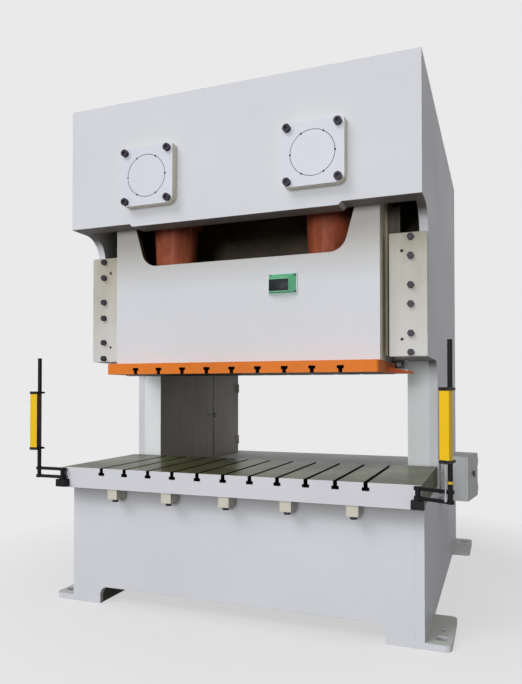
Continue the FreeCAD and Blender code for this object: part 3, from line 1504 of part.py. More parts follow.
def control_box():
    """Sheet-metal box, open on its outer side, with hinge knuckles on its inner front edge."""
    case = block("box_case", (box_inner_x, box_outer_x), (box_front_y, box_rear_y),
                 (S.box_low_z, S.box_high_z))
    room = block("box_room", (box_inner_x + S.box_sheet, box_outer_x + 1),
                 (box_front_y + S.box_sheet, box_rear_y - S.box_sheet),
                 (S.box_low_z + S.box_sheet, S.box_high_z - S.box_sheet))
    pieces = [cut("box_shell", case, [room])]
    bores = []
    for index, low_z in enumerate(box_pin_heights):
        pieces.append(rod(f"box_knuckle_{index}", "z", (0, 0), low_z, low_z + 60, 13))
        pieces.append(block(f"box_strap_{index}", (-6, 6), (0, box_front_y), (low_z, low_z + 60)))
        bores.append(rod(f"box_bore_{index}", "z", (0, 0), low_z - 1, low_z + 61, 8 + S.fit))
    for index, low_z in enumerate(door_pin_heights):
        pieces += hinge_post(f"box_door_pin_{index}", *door_pin, low_z,
                             (box_outer_x - 10, door_pin[0] + 4),
                             (box_rear_y, door_pin[1] + 4), 4)
    return cut("box", fuse("box_solid", pieces), bores)


def control_box_door():
    """Door of the control box, with its knuckles and the hole of its latch."""
    face = (box_outer_x + 1, box_outer_x + 16)
    leaf = block("lid_leaf", face, (box_front_y, box_rear_y - 2), (S.box_low_z, S.box_high_z))
    pieces = [leaf]
    bores = [rod("lid_latch_hole", "x", latch_centre, box_outer_x, box_outer_x + 17, 9 + S.fit)]
    for index, low_z in enumerate(door_pin_heights):
        pieces.append(rod(f"lid_knuckle_{index}", "z", door_pin, low_z, low_z + 50, 8))
        pieces.append(block(f"lid_strap_{index}", (door_pin[0] - 3, door_pin[0] + 6),
                            (box_rear_y - 6, door_pin[1]),
                            (low_z, low_z + 50)))
        bores.append(rod(f"lid_bore_{index}", "z", door_pin, low_z - 1, low_z + 51, 4 + S.fit))
    return cut("lid", fuse("lid_solid", pieces), bores)


latch_centre = (box_front_y + S.box_deep / 2, (S.box_low_z + S.box_high_z) / 2 + 25)


def door_latch():
    """Turning latch of the control box: barrel, upright grip and cam."""
    y, z = latch_centre
    return fuse("latch", [
        rod("latch_barrel", "x", latch_centre, box_outer_x - 12, box_outer_x + 22, 9),
        rod("latch_rose", "x", latch_centre, box_outer_x + 16.3, box_outer_x + 22, 16),
        block("latch_grip", (box_outer_x + 22, box_outer_x + 34), (y - 8, y + 8), (z - 25, z + 25)),
    ])


# ---------------------------------------------------------------- the press, piece by piece

side_plate = side_frame()
finish_pair("side_frame", side_plate)
finish("crown_front_plate", crown_front())
finish("crown_top_plate", block("top_sheet", (-inner_x, inner_x), (crown_back_y, S.back_y),
                                (top_under_z, S.crown_top_z)))
finish("crown_inner_wall", inner_wall())
finish("crown_rear_wall", rear_wall())
finish("crown_floor_plate", floor_with_motor_pad())
finish("bed_front_plate", bed_front())
finish("bed_rear_plate", bed_wall("bed_rear", S.back_y - S.bed_wall, S.back_y))
finish("bed_top_plate", block("bed_sheet", (-inner_x, inner_x), (S.base_front_y + S.bed_wall,
                                                                 S.back_y - S.bed_wall),
                              (bed_under_z, S.bed_top_z)))
for side, way in SIDES:
    finish("upright_" + side, upright(side, way))
finish("cabinet_door", cabinet_door())
finish("cabinet_lock", cabinet_lock())
finish("rear_guard", rear_guard())

finish("bolster", bolster())
finish("bolster_bolts", group("bolster_bolt_set", [
    hex_bolt(f"bolster_bolt_{index}", "z", spot, S.bed_top_z - S.lug_height, S.bed_top_z + 50, -1)
    for index, spot in enumerate(lug_places())]))
finish_pair("gib_plate", gib_plate())
gib_set = [hex_bolt(f"gib_bolt_{index}", "y", (S.gib_bolt_x, z), S.gib_front_y, S.jaw_front_y + 65, -1)
           for index, z in enumerate(gib_bolt_heights())]
right_gib_bolts = group("gib_bolt_set", gib_set)
finish("gib_bolts", group("all_gib_bolts", [right_gib_bolts, mirrored("left_gib_bolts", right_gib_bolts)]))
right_post = guide_post()
finish("guide_posts", group("both_guide_posts", [right_post, mirrored("left_guide_post", right_post)]))
right_liners = group("right_liners", guide_liners())
finish("guide_liners", group("all_liners", [right_liners, mirrored("left_liners", right_liners)]))

finish("crank_bushes", group("bush_set", crank_bushes()))
for side, way in SIDES:
    finish("crankshaft_" + side, crankshaft(side, way))
    finish("rod_" + side, connecting_rod(side, way))
    finish("rod_cap_" + side, rod_cap(side, way))
    finish("adjusting_screw_" + side, adjusting_screw(side, way))
finish("crank_gear_left", crank_gear("left", -1, 0))
finish("crank_gear_right", crank_gear("right", 1, 180 / SIZES["gear_teeth"][0]))
finish("drive_pinion_shaft", pinion_shaft("drive_pinion", -1, 180 / SIZES["pinion_teeth"][0],
                                          wheel_back_y + 30))
finish("idler_pinion_shaft", pinion_shaft("idler_pinion", 1, 0, shaft_end_y))

finish("ram_body", ram_body())
finish("ram_plate", ram_plate())
right_seat = ball_seat()
finish("ball_seats", group("both_seats", [right_seat, mirrored("left_seat", right_seat)]))
finish("adjust_motor", adjusting_motor())
finish("display_unit", display_unit())

finish("flywheel", flywheel())
finish("clutch_unit", clutch())
finish("motor_pulley", motor_pulley())
finish("motor", motor())
finish("drive_belts", group("belt_set", drive_belts()))
right_cylinder = balance_cylinder()
finish("balance_cylinders", group("both_cylinders", [right_cylinder,
                                                     mirrored("left_cylinder", right_cylinder)]))
right_balance = balance_rod()
finish("balance_rods", group("both_balance_rods", [right_balance,
                                                   mirrored("left_balance", right_balance)]))

finish("crank_covers", group("both_covers", [crank_cover(side, way) for side, way in SIDES]))
finish("cover_bolts", group("cover_bolt_set", [
    socket_bolt(f"cover_bolt_{index}", spot, S.crown_front_y - S.cover_thick, S.crown_front_y + 40)
    for index, spot in enumerate(cover_bolt_places())]))
finish("limit_switch", limit_switch())

finish("curtain_blocks", group("block_set", [curtain_block(side, way) for side, way in SIDES]))
left_pivot, left_angle = (-S.pivot_x, S.pivot_y), S.left_swing + 180
right_pivot, right_angle = (S.pivot_x, S.pivot_y), 360 - S.right_swing
right_sensor_z = S.sensor_low_z + S.sensor_lift
finish("curtain_arm_left", swing(curtain_arm("left", S.post_high_z), left_pivot, left_angle))
finish("curtain_arm_right", swing(curtain_arm("right", S.post_high_z + S.post_extra), right_pivot,
                                  right_angle))
finish("curtain_sensor_left", swing(curtain_sensor("left", -1, S.sensor_low_z), left_pivot, left_angle))
finish("curtain_sensor_right", swing(curtain_sensor("right", 1, right_sensor_z), right_pivot, right_angle))
finish("sensor_lead", swing(sensor_lead(right_sensor_z), right_pivot, right_angle))

finish("box_bracket", box_bracket())
finish("control_box", swing(control_box(), box_pivot, 360 - S.box_turn))
finish("control_box_door", swing(control_box_door(), box_pivot, 360 - S.box_turn))
finish("door_latch", swing(door_latch(), box_pivot, 360 - S.box_turn))

# ---------------------------------------------------------------- check and write

doc.recompute()
for item in doc.Objects:
    if "Invalid" in item.State or "Error" in item.State:
        raise RuntimeError(f"{item.Label} did not recompute: {item.State}")
for item in NODES:
    if item.Shape.isNull() or not item.Shape.isValid():
        raise RuntimeError(f"{item.Label} has no valid shape")
    item.Shape.exportStep(f"parts/{item.Label}.step")
    litres = item.Shape.Volume / 1e6
    print(f"{item.Label:24} solids {len(item.Shape.Solids):3} volume {litres:10.2f} litres")
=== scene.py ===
import bmesh
import bpy
import math
from mathutils import Matrix, Vector


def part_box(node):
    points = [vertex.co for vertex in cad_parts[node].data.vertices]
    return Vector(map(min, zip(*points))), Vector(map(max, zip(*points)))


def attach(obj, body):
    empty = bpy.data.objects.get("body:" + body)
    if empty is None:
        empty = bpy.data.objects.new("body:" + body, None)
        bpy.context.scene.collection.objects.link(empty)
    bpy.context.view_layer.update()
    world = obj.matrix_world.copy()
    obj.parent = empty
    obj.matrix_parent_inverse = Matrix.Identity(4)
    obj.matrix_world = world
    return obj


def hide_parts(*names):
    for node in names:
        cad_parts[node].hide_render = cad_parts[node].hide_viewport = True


# Two-point gap-frame press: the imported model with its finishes, small fittings, floor, lamps and camera.
# X right, Y to the back, Z up, in metres; the origin is on the floor between the anchor holes.

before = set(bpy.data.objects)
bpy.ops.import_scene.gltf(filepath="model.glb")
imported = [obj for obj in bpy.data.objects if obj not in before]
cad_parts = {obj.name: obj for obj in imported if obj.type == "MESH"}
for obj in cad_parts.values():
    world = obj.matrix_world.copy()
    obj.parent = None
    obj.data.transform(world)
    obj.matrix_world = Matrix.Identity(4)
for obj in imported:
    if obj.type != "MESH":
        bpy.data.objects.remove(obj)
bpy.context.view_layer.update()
scene = bpy.context.scene

# ---------------------------------------------------------------- camera, fitted to straight edges

IMAGE_WIDTH, IMAGE_HEIGHT = 522, 684
FOCAL_PIXELS = 638.0
CENTRE_PIXEL = (252.3, 378.9)
CAMERA_PLACE = (1.806, -5.775, 1.656)
TILT_DEGREES, TURN_DEGREES = 91.02, 21.2
FILM_MM = 36
SIGHT_LIMIT = 100

camera_data = bpy.data.cameras.new("camera")
camera = bpy.data.objects.new("camera", camera_data)
scene.collection.objects.link(camera)
camera.location = CAMERA_PLACE
camera.rotation_euler = (math.radians(TILT_DEGREES), 0, math.radians(TURN_DEGREES))
camera_data.sensor_width = FILM_MM
camera_data.lens = FILM_MM * FOCAL_PIXELS / IMAGE_HEIGHT
camera_data.shift_x = (IMAGE_WIDTH / 2 - CENTRE_PIXEL[0]) / IMAGE_HEIGHT
camera_data.shift_y = (CENTRE_PIXEL[1] - IMAGE_HEIGHT / 2) / IMAGE_HEIGHT
camera_data.clip_end = SIGHT_LIMIT
scene.camera = camera

# ---------------------------------------------------------------- places on the press

ram_front_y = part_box("ram_body")[0].y
display_low, display_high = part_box("display_unit")
switch_low, switch_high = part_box("limit_switch")

# A light curtain has its arm's pivot and angle in degrees, and its sensor's lower end. Its front is the
# sign that the arm's own Y has in front of the outer post.
CURTAINS = {
    "left": {"pivot": (-1.33, -1.72), "angle": 181, "front": 1, "sensor_z": 1.197},
    "right": {"pivot": (1.33, -1.72), "angle": -24, "front": -1, "sensor_z": 1.224},
}
ARM_REACH = 0.218
SENSOR_LENGTH = 0.45
SENSOR_HALF_WIDE = 0.031
END_CAP_HIGH = 0.0205

# ---------------------------------------------------------------- regions with a finish of their own

# A region has spans of x, y, z or side, the distance from the middle plane. None leaves a span open.
# Some of these regions carry painted light or shade, marked where they are used.
PRESS_INSIDE = {"side": (None, 1.289), "y": (-1.409, 1.48), "z": (1.93, 3.80)}
BESIDE_RAM = {"side": (1.047, None), "y": (None, -1.206), "z": (None, 2.74)}
BED_FRONT = {"side": (None, 1.349), "y": (None, -1.45)}
LUGS = {"side": (None, 1.0), "y": (None, -1.565), "z": (0.82, 0.9105)}
FEET = {"side": (1.351, None), "z": (0.03, 0.05)}
RAM_FRONT = {"side": (None, 1.0475), "y": (None, -1.409)}
RAM_SIDES = {"side": (1.047, 1.049), "y": (None, -1.2065)}
RAM_RAILS = {"side": (1.0485, None), "y": (-1.2075, None)}
RAIL_FRONTS = {"side": (1.0485, 1.066), "y": (-1.2085, -1.2030)}
PASSAGE = {"side": (None, 1.1235), "y": (-0.574, 1.2995)}
# Painted shade of the door's gap.
DOOR_GAP_SHADE = {"x": (-1.1235, -1.09), "y": (0.578, 0.600), "z": (0.93, 1.84)}
GIB_INNER_EDGES = {"side": (None, 1.0935)}
COVER_EDGES = {"y": (-1.6535, -1.585)}
COVER_MIDDLES = {"side": (0.47, 0.81), "z": (3.09, 3.43)}
PLATE_ENDS = {"side": (1.0585, None)}
PLATE_SLOTS = {"side": (None, 1.03), "y": (-1.5335, None), "z": (None, 1.8272)}
BOLSTER_CENTRE_LINE = {"y": (-1.1725, -1.1675)}
BOLSTER_BELOW_TOP = {"y": (-1.6885, None), "z": (None, 1.0643)}
BOLSTER_ENDS = {"side": (1.3493, None), "z": (None, 1.0648)}
BOLSTER_FRONT = {"side": (None, 1.3493), "y": (None, -1.6885)}
ARM_TAPE = {"x": (1.45, None), "z": (1.098, 1.114)}

# Heights over which painted shade grows on the bed, the ram and the gibs, and where the bed's shade ends
# again.
BED_SHADE_Z = (0.74, 0.911)
BED_SHADE_END_Z = (1.0, 1.1)
RAM_SHADE_Z = (2.42, 2.72)
GIB_Z = (1.89, 2.745)

# How deep the switch's pale front is, and how far in front of the ram the display's back plate ends.
SWITCH_FRONT_DEEP = 0.012
DISPLAY_PLATE_DEEP = 0.0082

# ---------------------------------------------------------------- mesh helpers

SHARP_ANGLE = math.radians(35)
ROUND_STEPS = 2


def new_object(name, data, body, material):
    """Links a mesh or curve as a piece that rides on a body."""
    item = bpy.data.objects.new(name, data)
    scene.collection.objects.link(item)
    data.materials.append(material)
    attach(item, body)
    return item


def add_piece(name, build, body, material):
    """A mesh piece, filled by a function that works on a bmesh."""
    work = bmesh.new()
    build(work)
    bmesh.ops.recalc_face_normals(work, faces=work.faces)
    mesh = bpy.data.meshes.new(name)
    work.to_mesh(mesh)
    work.free()
    mesh.shade_smooth()
    mesh.set_sharp_from_angle(angle=SHARP_ANGLE)
    return new_object(name, mesh, body, material)


def add_box(work, low, high, round_off, place=Matrix.Identity(4)):
    """A box with rounded edges between two corners, placed by a matrix."""
    low, high = Vector(low), Vector(high)
    made = bmesh.ops.create_cube(work, size=1)["verts"]
    bmesh.ops.scale(work, verts=made, vec=high - low)
    bmesh.ops.translate(work, verts=made, vec=(low + high) / 2)
    bmesh.ops.transform(work, matrix=place, verts=made)
    edges = list(dict.fromkeys(edge for vert in made for edge in vert.link_edges))
    bmesh.ops.bevel(work, geom=edges, offset=round_off, segments=ROUND_STEPS, affect="EDGES", profile=0.5)


def add_lathe(work, profile, place, steps=32):
    """A turned solid: (radius, height) points turned about Z, placed by a matrix. A radius of 0 is a tip."""
    rings = []
    for radius, height in profile:
        ring = []
        for step in range(steps if radius else 1):
            angle = 2 * math.pi * step / steps
            spot = Vector((radius * math.cos(angle), radius * math.sin(angle), height))
            ring.append(work.verts.new(place @ spot))
        rings.append(ring)
    for lower, upper in zip(rings, rings[1:]):
        for step in range(steps):
            after = (step + 1) % steps
            corners = [lower[step % len(lower)], lower[after % len(lower)],
                       upper[after % len(upper)], upper[step % len(upper)]]
            work.faces.new(list(dict.fromkeys(corners)))


def facing_front(x, y, z):
    """Places a turned piece so that it stands out of a front face, towards -Y."""
    return Matrix.Translation((x, y, z)) @ Matrix.Rotation(math.radians(90), 4, "X")


def on_arm(curtain):
    """The frame of an arm: its own X runs from the pivot to the outer post."""
    x, y = curtain["pivot"]
    return Matrix.Translation((x, y, 0)) @ Matrix.Rotation(math.radians(curtain["angle"]), 4, "Z")


# ---------------------------------------------------------------- material helpers


def linear(red, green, blue):
    """A colour given in the 0-255 values of a screen, as the shader's linear values."""
    parts = [value / 255 for value in (red, green, blue)]
    return [part / 12.92 if part <= 0.04045 else ((part + 0.055) / 1.055) ** 2.4 for part in parts] + [1.0]


def shade(colour, factor):
    """A screen colour made darker or lighter in linear light."""
    return [min(1, value * factor) for value in linear(*colour)[:3]] + [1.0]


class Shader:
    """A node material in the making."""

    def __init__(self, name):
        self.material = bpy.data.materials.new(name)
        self.material.use_nodes = True
        self.nodes = self.material.node_tree.nodes
        self.links = self.material.node_tree.links
        self.surface = self.nodes["Principled BSDF"]
        self.where = self.nodes.new("ShaderNodeTexCoord").outputs["Object"]
        self.found = {}

    def add(self, kind, **values):
        """A node, with plain values for its inputs or its settings."""
        node = self.nodes.new(kind)
        for name, value in values.items():
            if name in node.inputs:
                node.inputs[name].default_value = value
            else:
                setattr(node, name, value)
        return node

    def join(self, source, target):
        """Links a socket to a socket, or sets a plain value on it."""
        if isinstance(source, bpy.types.NodeSocket):
            self.links.new(source, target)
        else:
            target.default_value = source

    def set(self, **values):
        """Sets or links inputs of the surface, named with underscores."""
        for name, value in values.items():
            self.join(value, self.surface.inputs[name.replace("_", " ")])

    def finished(self, tone):
        """Gives the surface its colour, and returns the material."""
        self.set(Base_Color=tone)
        return self.material

    def noise(self, scale, detail=3.0, rough=0.5, stretch=(1, 1, 1)):
        """Noise over the press's own metres, squeezed along an axis where asked."""
        spread = self.add("ShaderNodeMapping")
        spread.inputs["Scale"].default_value = stretch
        self.join(self.where, spread.inputs["Vector"])
        node = self.add("ShaderNodeTexNoise", Scale=scale, Detail=detail, Roughness=rough)
        self.join(spread.outputs["Vector"], node.inputs["Vector"])
        return node.outputs["Fac"]

    def drips(self):
        """Noise drawn out into runs that hang down a wall."""
        return self.noise(9.0, detail=4.0, rough=0.6, stretch=(1, 1, 0.12))

    def ramp(self, source, *stops):
        """Linear colours by position along 0 to 1."""
        node = self.add("ShaderNodeValToRGB")
        points = node.color_ramp.elements
        while len(points) < len(stops):
            points.new(0.5)
        for point, (position, colour) in zip(points, stops):
            point.position = position
            point.color = colour
        self.join(source, node.inputs["Fac"])
        return node.outputs["Color"]

    def mottled(self, pattern, dark, pale, low=0.3, high=0.7):
        """Two screen colours that follow a pattern from low to high."""
        return self.ramp(pattern, (low, linear(*dark)), (high, linear(*pale)))

    def mix(self, factor, first, second):
        """The first colour where the factor is 0, the second where it is 1."""
        node = self.add("ShaderNodeMix", data_type="RGBA", blend_type="MIX")
        first_place, second_place, result_place = 6, 7, 2
        for place, value in (("Factor", factor), (first_place, first), (second_place, second)):
            self.join(value, node.inputs[place])
        return node.outputs[result_place]

    def cover(self, tone, mask, colour):
        """A tone with a screen colour laid over it where the mask is 1."""
        return self.mix(mask, tone, linear(*colour))

    def calculate(self, operation, first, second=0.0):
        """One step of arithmetic on sockets or plain numbers."""
        node = self.add("ShaderNodeMath", operation=operation)
        for socket, value in zip(node.inputs, (first, second)):
            self.join(value, socket)
        return node.outputs[0]

    def both(self, first, second):
        """The product of two masks, or of a mask and a number."""
        return self.calculate("MULTIPLY", first, second)

    def span(self, source, low, high, to_low=0.0, to_high=1.0):
        """Maps a range of values onto another, clamped."""
        node = self.add("ShaderNodeMapRange")
        for name, value in (("From Min", low), ("From Max", high), ("To Min", to_low), ("To Max", to_high)):
            node.inputs[name].default_value = value
        self.join(source, node.inputs["Value"])
        return node.outputs["Result"]

    def axis(self, name):
        """A coordinate in the press's frame: x, y, z, or side, the distance from the middle plane."""
        if name not in self.found:
            node = self.add("ShaderNodeSeparateXYZ")
            self.join(self.where, node.inputs["Vector"])
            self.found.update(zip("xyz", node.outputs))
            self.found["side"] = self.calculate("ABSOLUTE", self.found["x"])
        return self.found[name]

    def upward(self):
        """How far the surface looks up: 1 on a top, 0 on a wall, -1 on an underside."""
        if "upward" not in self.found:
            node = self.add("ShaderNodeSeparateXYZ")
            self.join(self.add("ShaderNodeNewGeometry").outputs["True Normal"], node.inputs["Vector"])
            self.found["upward"] = node.outputs["Z"]
        return self.found["upward"]

    def undersides(self):
        """1 on undersides, fading out as the surface turns to the side."""
        return self.span(self.upward(), -0.9, -0.6, to_low=1, to_high=0)

    def within(self, soft=0.002, **spans):
        """1 inside a region, fading over a soft border."""
        total = None
        for name, (low, high) in spans.items():
            for edge, start, end in ((low, 0.0, 1.0), (high, 1.0, 0.0)):
                if edge is None:
                    continue
                step = self.span(self.axis(name), edge - soft / 2, edge + soft / 2, start, end)
                total = step if total is None else self.both(total, step)
        return total

    def bump(self, source, strength, distance, edge=0.0):
        """Surface relief from a height, with edges softened by a radius."""
        node = self.add("ShaderNodeBump", Strength=strength, Distance=distance)
        self.join(source, node.inputs["Height"])
        self.join(node.outputs["Normal"], self.surface.inputs["Normal"])
        if edge:
            soft = self.add("ShaderNodeBevel", Radius=edge, samples=4)
            self.join(soft.outputs["Normal"], node.inputs["Normal"])


# ---------------------------------------------------------------- enamels


def painted(name, colour, rough=0.5, spread=0.02, sheen=0.2, edge=0.003):
    """Sprayed enamel: faint cloudy colour, orange-peel relief and uneven gloss. Gives the shader and tone."""
    shader = Shader(name)
    darker = shade(colour, 1 - spread * 2)
    cloud = shader.noise(1.3, detail=4.0, rough=0.55)
    tone = shader.ramp(cloud, (0.3, darker), (0.7, shade(colour, 1 + spread)))
    specks = shader.span(shader.noise(38.0, detail=2.0), 0.45, 0.75, to_high=0.25)
    tone = shader.mix(specks, tone, darker)
    shader.set(Roughness=shader.span(cloud, 0.3, 0.7, rough - 0.05, rough + 0.08), Specular_IOR_Level=sheen)
    shader.bump(shader.noise(220.0, detail=2.0), strength=0.12, distance=0.0006, edge=edge)
    return shader, tone


def enamel(name, colour, **look):
    """Plain sprayed enamel."""
    shader, tone = painted(name, colour, **look)
    return shader.finished(tone)


def frame_enamel(name, colour):
    """The press's grey enamel, undersides and inside darkened by painted shade and greasy stains. Gives the
    shader and tone.
    """
    shader, tone = painted(name, colour)
    # Painted shade on the undersides, with some grease in it.
    tone = shader.cover(tone, shader.both(shader.undersides(), 0.85), (92, 86, 78))
    # Painted shade inside the crown and behind the ram, mottled with greasy stains.
    elsewhere = shader.calculate("SUBTRACT", 1.0, shader.within(**BESIDE_RAM))
    oil_and_shade = shader.mottled(shader.noise(3.2, detail=4.0, rough=0.6), (44, 39, 31), (90, 79, 60))
    tone = shader.mix(shader.both(shader.within(**PRESS_INSIDE), elsewhere), tone, oil_and_shade)
    return shader, tone


def press_paint():
    """Enamel of the welded frame: painted shade under the bolster's overhang and on the feet's tops, primed
    lugs.
    """
    shader, tone = frame_enamel("press_enamel", (214, 216, 222))
    height = shader.axis("z")
    steepness, thickest = 1.3, 0.75
    # Painted shade: the bed's front darkens below the bolster's overhang.
    painted_shade = shader.both(shader.within(**BED_FRONT), shader.span(height, *BED_SHADE_Z))
    painted_shade = shader.both(painted_shade, shader.span(height, *BED_SHADE_END_Z, to_low=1, to_high=0))
    painted_shade = shader.both(shader.calculate("POWER", painted_shade, steepness), thickest)
    tone = shader.cover(tone, painted_shade, (120, 117, 112))
    tone = shader.cover(tone, shader.within(**LUGS), (205, 201, 188))
    # Painted shade: the feet's tops are darker than the frame's enamel.
    shaded_foot_tops = shader.both(shader.within(**FEET), shader.span(shader.upward(), 0.8, 0.95))
    return shader.finished(shader.cover(tone, shaded_foot_tops, (204, 207, 203)))


def ram_paint():
    """Ram enamel: painted shade under the crown and on greasy rails; painted light on its ivory sides and
    primed rail fronts.
    """
    shader, tone = frame_enamel("ram_enamel", (213, 215, 221))
    drips = shader.drips()
    # Painted shade: the ram's front darkens towards the top, under the crown's overhang.
    painted_shade = shader.both(shader.within(**RAM_FRONT), shader.span(shader.axis("z"), *RAM_SHADE_Z))
    tone = shader.cover(tone, painted_shade, (184, 183, 179))
    # Ivory sides, painted brighter as painted light in their deep corner.
    tone = shader.cover(tone, shader.within(**RAM_SIDES), (240, 233, 212))
    # Greasy rails, darkened further as painted shade in the recess by the gibs.
    oiled_and_shaded = shader.mottled(drips, (38, 33, 25), (86, 79, 63), low=0.35, high=0.65)
    tone = shader.mix(shader.within(**RAM_RAILS), tone, oiled_and_shaded)
    # Primed rail fronts, painted lighter as painted light in the shaded corner.
    primer_painted_lighter = shader.mottled(drips, (178, 168, 144), (208, 199, 176), low=0.35, high=0.65)
    return shader.finished(shader.mix(shader.within(**RAIL_FRONTS), tone, primer_painted_lighter))


def upright_paint():
    """Uprights and cabinet door: lighter enamel as painted light; painted shade inside and at the door gap.
    """
    # Painted light: the uprights' enamel is a lighter copy of the frame's.
    shader, tone = frame_enamel("upright_enamel", (228, 232, 234))
    # Painted shade with greasy runs on the passage's inner faces.
    dull_and_shaded = shader.mix(shader.span(shader.drips(), 0.45, 0.7, to_high=0.25),
                      linear(178, 174, 168), linear(128, 121, 108))
    tone = shader.mix(shader.within(**PASSAGE), tone, dull_and_shaded)
    # Painted shade: a black band that stands for the shadow in the door's gap.
    return shader.finished(shader.cover(tone, shader.within(**DOOR_GAP_SHADE), (26, 25, 24)))


def gib_paint():
    """Gib plates: ivory enamel, darker and yellower up top as painted shade, with grease smears there and
    shaded inner edges.
    """
    shader, tone = painted("gib_enamel", (206, 206, 204), rough=0.45, sheen=0.25)
    # Painted shade: the plates darken and yellow towards the top, under the crown; the grease smears are
    # stains.
    height = shader.span(shader.axis("z"), *GIB_Z)
    tone = shader.cover(tone, height, (188, 186, 176))
    smear = shader.noise(3.6, detail=4.0, rough=0.6, stretch=(1, 1, 0.5))
    grease = shader.both(shader.span(smear, 0.45, 0.75, to_high=0.6), height)
    tone = shader.cover(tone, grease, (140, 128, 92))
    # Painted shade on the inner edges, in the narrow gap beside the ram.
    return shader.finished(shader.cover(tone, shader.within(**GIB_INNER_EDGES), (90, 82, 66)))


def cover_paint():
    """Crank covers: bluish enamel in front, ivory edges and a dark scribed ring."""
    shader, tone = painted("cover_enamel", (215, 218, 228), rough=0.42, sheen=0.3)
    edges = shader.within(**COVER_EDGES)
    tone = shader.cover(tone, edges, (226, 222, 202))
    ring = shader.both(edges, shader.within(**COVER_MIDDLES))
    return shader.finished(shader.cover(tone, ring, (84, 82, 86)))


def plate_paint():
    """Orange face plate, stained and redder at the ends, with painted shade in its T-slots and bare greasy
    steel underneath.
    """
    shader, tone = painted("face_plate_enamel", (227, 124, 44), spread=0.05, sheen=0.12, edge=0.002)
    stains = shader.span(shader.noise(7.0, detail=4.0, rough=0.6), 0.5, 0.8, to_high=0.35)
    tone = shader.cover(tone, stains, (196, 98, 36))
    tone = shader.cover(tone, shader.within(**PLATE_ENDS), (212, 108, 68))
    # Painted shade in the T-slots; underneath is bare greasy steel.
    slot_shade_and_underside = shader.calculate("MAXIMUM", shader.within(**PLATE_SLOTS), shader.undersides())
    oil_and_shade = shader.mottled(shader.noise(5.0), (34, 30, 22), (66, 58, 40))
    return shader.finished(shader.mix(slot_shade_and_underside, tone, oil_and_shade))


def rod_primer():
    """Connecting rods: dull red-brown primer with pale brush marks down the cone and dark patches."""
    shader, tone = painted("rod_primer", (170, 86, 56), rough=0.6, spread=0.1)
    brush = shader.noise(11.0, detail=4.0, rough=0.6, stretch=(1, 1, 0.08))
    tone = shader.cover(tone, shader.span(brush, 0.45, 0.7, to_high=0.6), (206, 126, 92))
    patches = shader.noise(4.0, detail=4.0, rough=0.6)
    return shader.finished(shader.cover(tone, shader.span(patches, 0.45, 0.7, to_high=0.65), (92, 42, 27)))


def arm_enamel(name, tape=None):
    """Black enamel of the curtain arms, with a yellow band of tape where a region is given."""
    shader, tone = painted(name, (25, 23, 26), rough=0.45, spread=0.1, sheen=0.12, edge=0.001)
    if tape:
        tone = shader.cover(tone, shader.within(soft=0.0005, **tape), (226, 190, 60))
    return shader.finished(tone)


def sensor_case(side):
    """Sensor bar: yellow enamel between black end caps and clamps."""
    low_z = CURTAINS[side]["sensor_z"]
    shader, tone = painted("sensor_enamel_" + side, (243, 197, 30), rough=0.42, spread=0.03, edge=0.001)
    middle = shader.within(z=(low_z + END_CAP_HIGH, low_z + SENSOR_LENGTH - END_CAP_HIGH), soft=0.001)
    return shader.finished(shader.mix(middle, linear(24, 21, 23), tone))


# ---------------------------------------------------------------- metals, plastics and glass


def bolster_steel():
    """Bolster: lubricated, stained ground top with a scribed centre line, painted shade in the slots, dark
    ends, grey front.
    """
    shader = Shader("bolster_ground_steel")
    stain = shader.noise(1.7, detail=5.0, rough=0.6)
    tone = shader.ramp(stain, (0.30, linear(74, 70, 50)), (0.45, linear(104, 100, 66)),
                       (0.58, linear(122, 128, 88)), (0.70, linear(136, 142, 112)))
    patches = shader.noise(6.0, rough=0.6, stretch=(1, 2.2, 1))
    tone = shader.cover(tone, shader.span(patches, 0.5, 0.75, to_high=0.5), (66, 62, 42))
    marks = shader.noise(26.0, rough=0.6, stretch=(1, 12, 1))
    tone = shader.cover(tone, shader.span(marks, 0.45, 0.75, to_high=0.25), (70, 70, 56))
    tone = shader.cover(tone, shader.within(soft=0.001, **BOLSTER_CENTRE_LINE), (52, 50, 44))
    # Painted shade: the T-slots' walls and the faces below the top are near black.
    slots = shader.mottled(shader.noise(5.0), (20, 20, 14), (34, 33, 24))
    tone = shader.mix(shader.within(**BOLSTER_BELOW_TOP), tone, slots)
    ends = shader.mottled(shader.noise(2.5, detail=4.0, rough=0.6), (56, 56, 38), (88, 88, 60))
    tone = shader.mix(shader.within(**BOLSTER_ENDS), tone, ends)
    front = shader.mottled(shader.noise(1.3, detail=4.0, rough=0.55), (209, 210, 216), (215, 216, 222))
    tone = shader.mix(shader.within(**BOLSTER_FRONT), tone, front)
    top = shader.span(shader.upward(), 0.6, 0.9)
    gloss = shader.both(top, shader.span(stain, 0.2, 0.8, to_low=0.8))
    shader.set(Metallic=shader.both(top, 0.15), Specular_IOR_Level=0.05,
               Roughness=shader.span(gloss, 0, 1, to_low=0.5, to_high=0.26))
    shader.bump(marks, strength=0.1, distance=0.0002, edge=0.0015)
    return shader.finished(tone)


def steel(name, colour, rough, metal=1.0):
    """Machined metal: fine tool marks, faint stains and uneven gloss."""
    shader = Shader(name)
    darker = shade(colour, 0.76)
    stain = shader.noise(2.2, detail=5.0, rough=0.6)
    marks = shader.noise(60.0, rough=0.6)
    tone = shader.mix(shader.span(stain, 0.35, 0.75), linear(*colour), darker)
    tone = shader.mix(shader.span(marks, 0.4, 0.7, to_high=0.35), tone, darker)
    shader.set(Metallic=metal, Roughness=shader.span(stain, 0.3, 0.7, rough - 0.06, rough + 0.1))
    shader.bump(marks, strength=0.2, distance=0.0004, edge=0.0015)
    return shader.finished(tone)


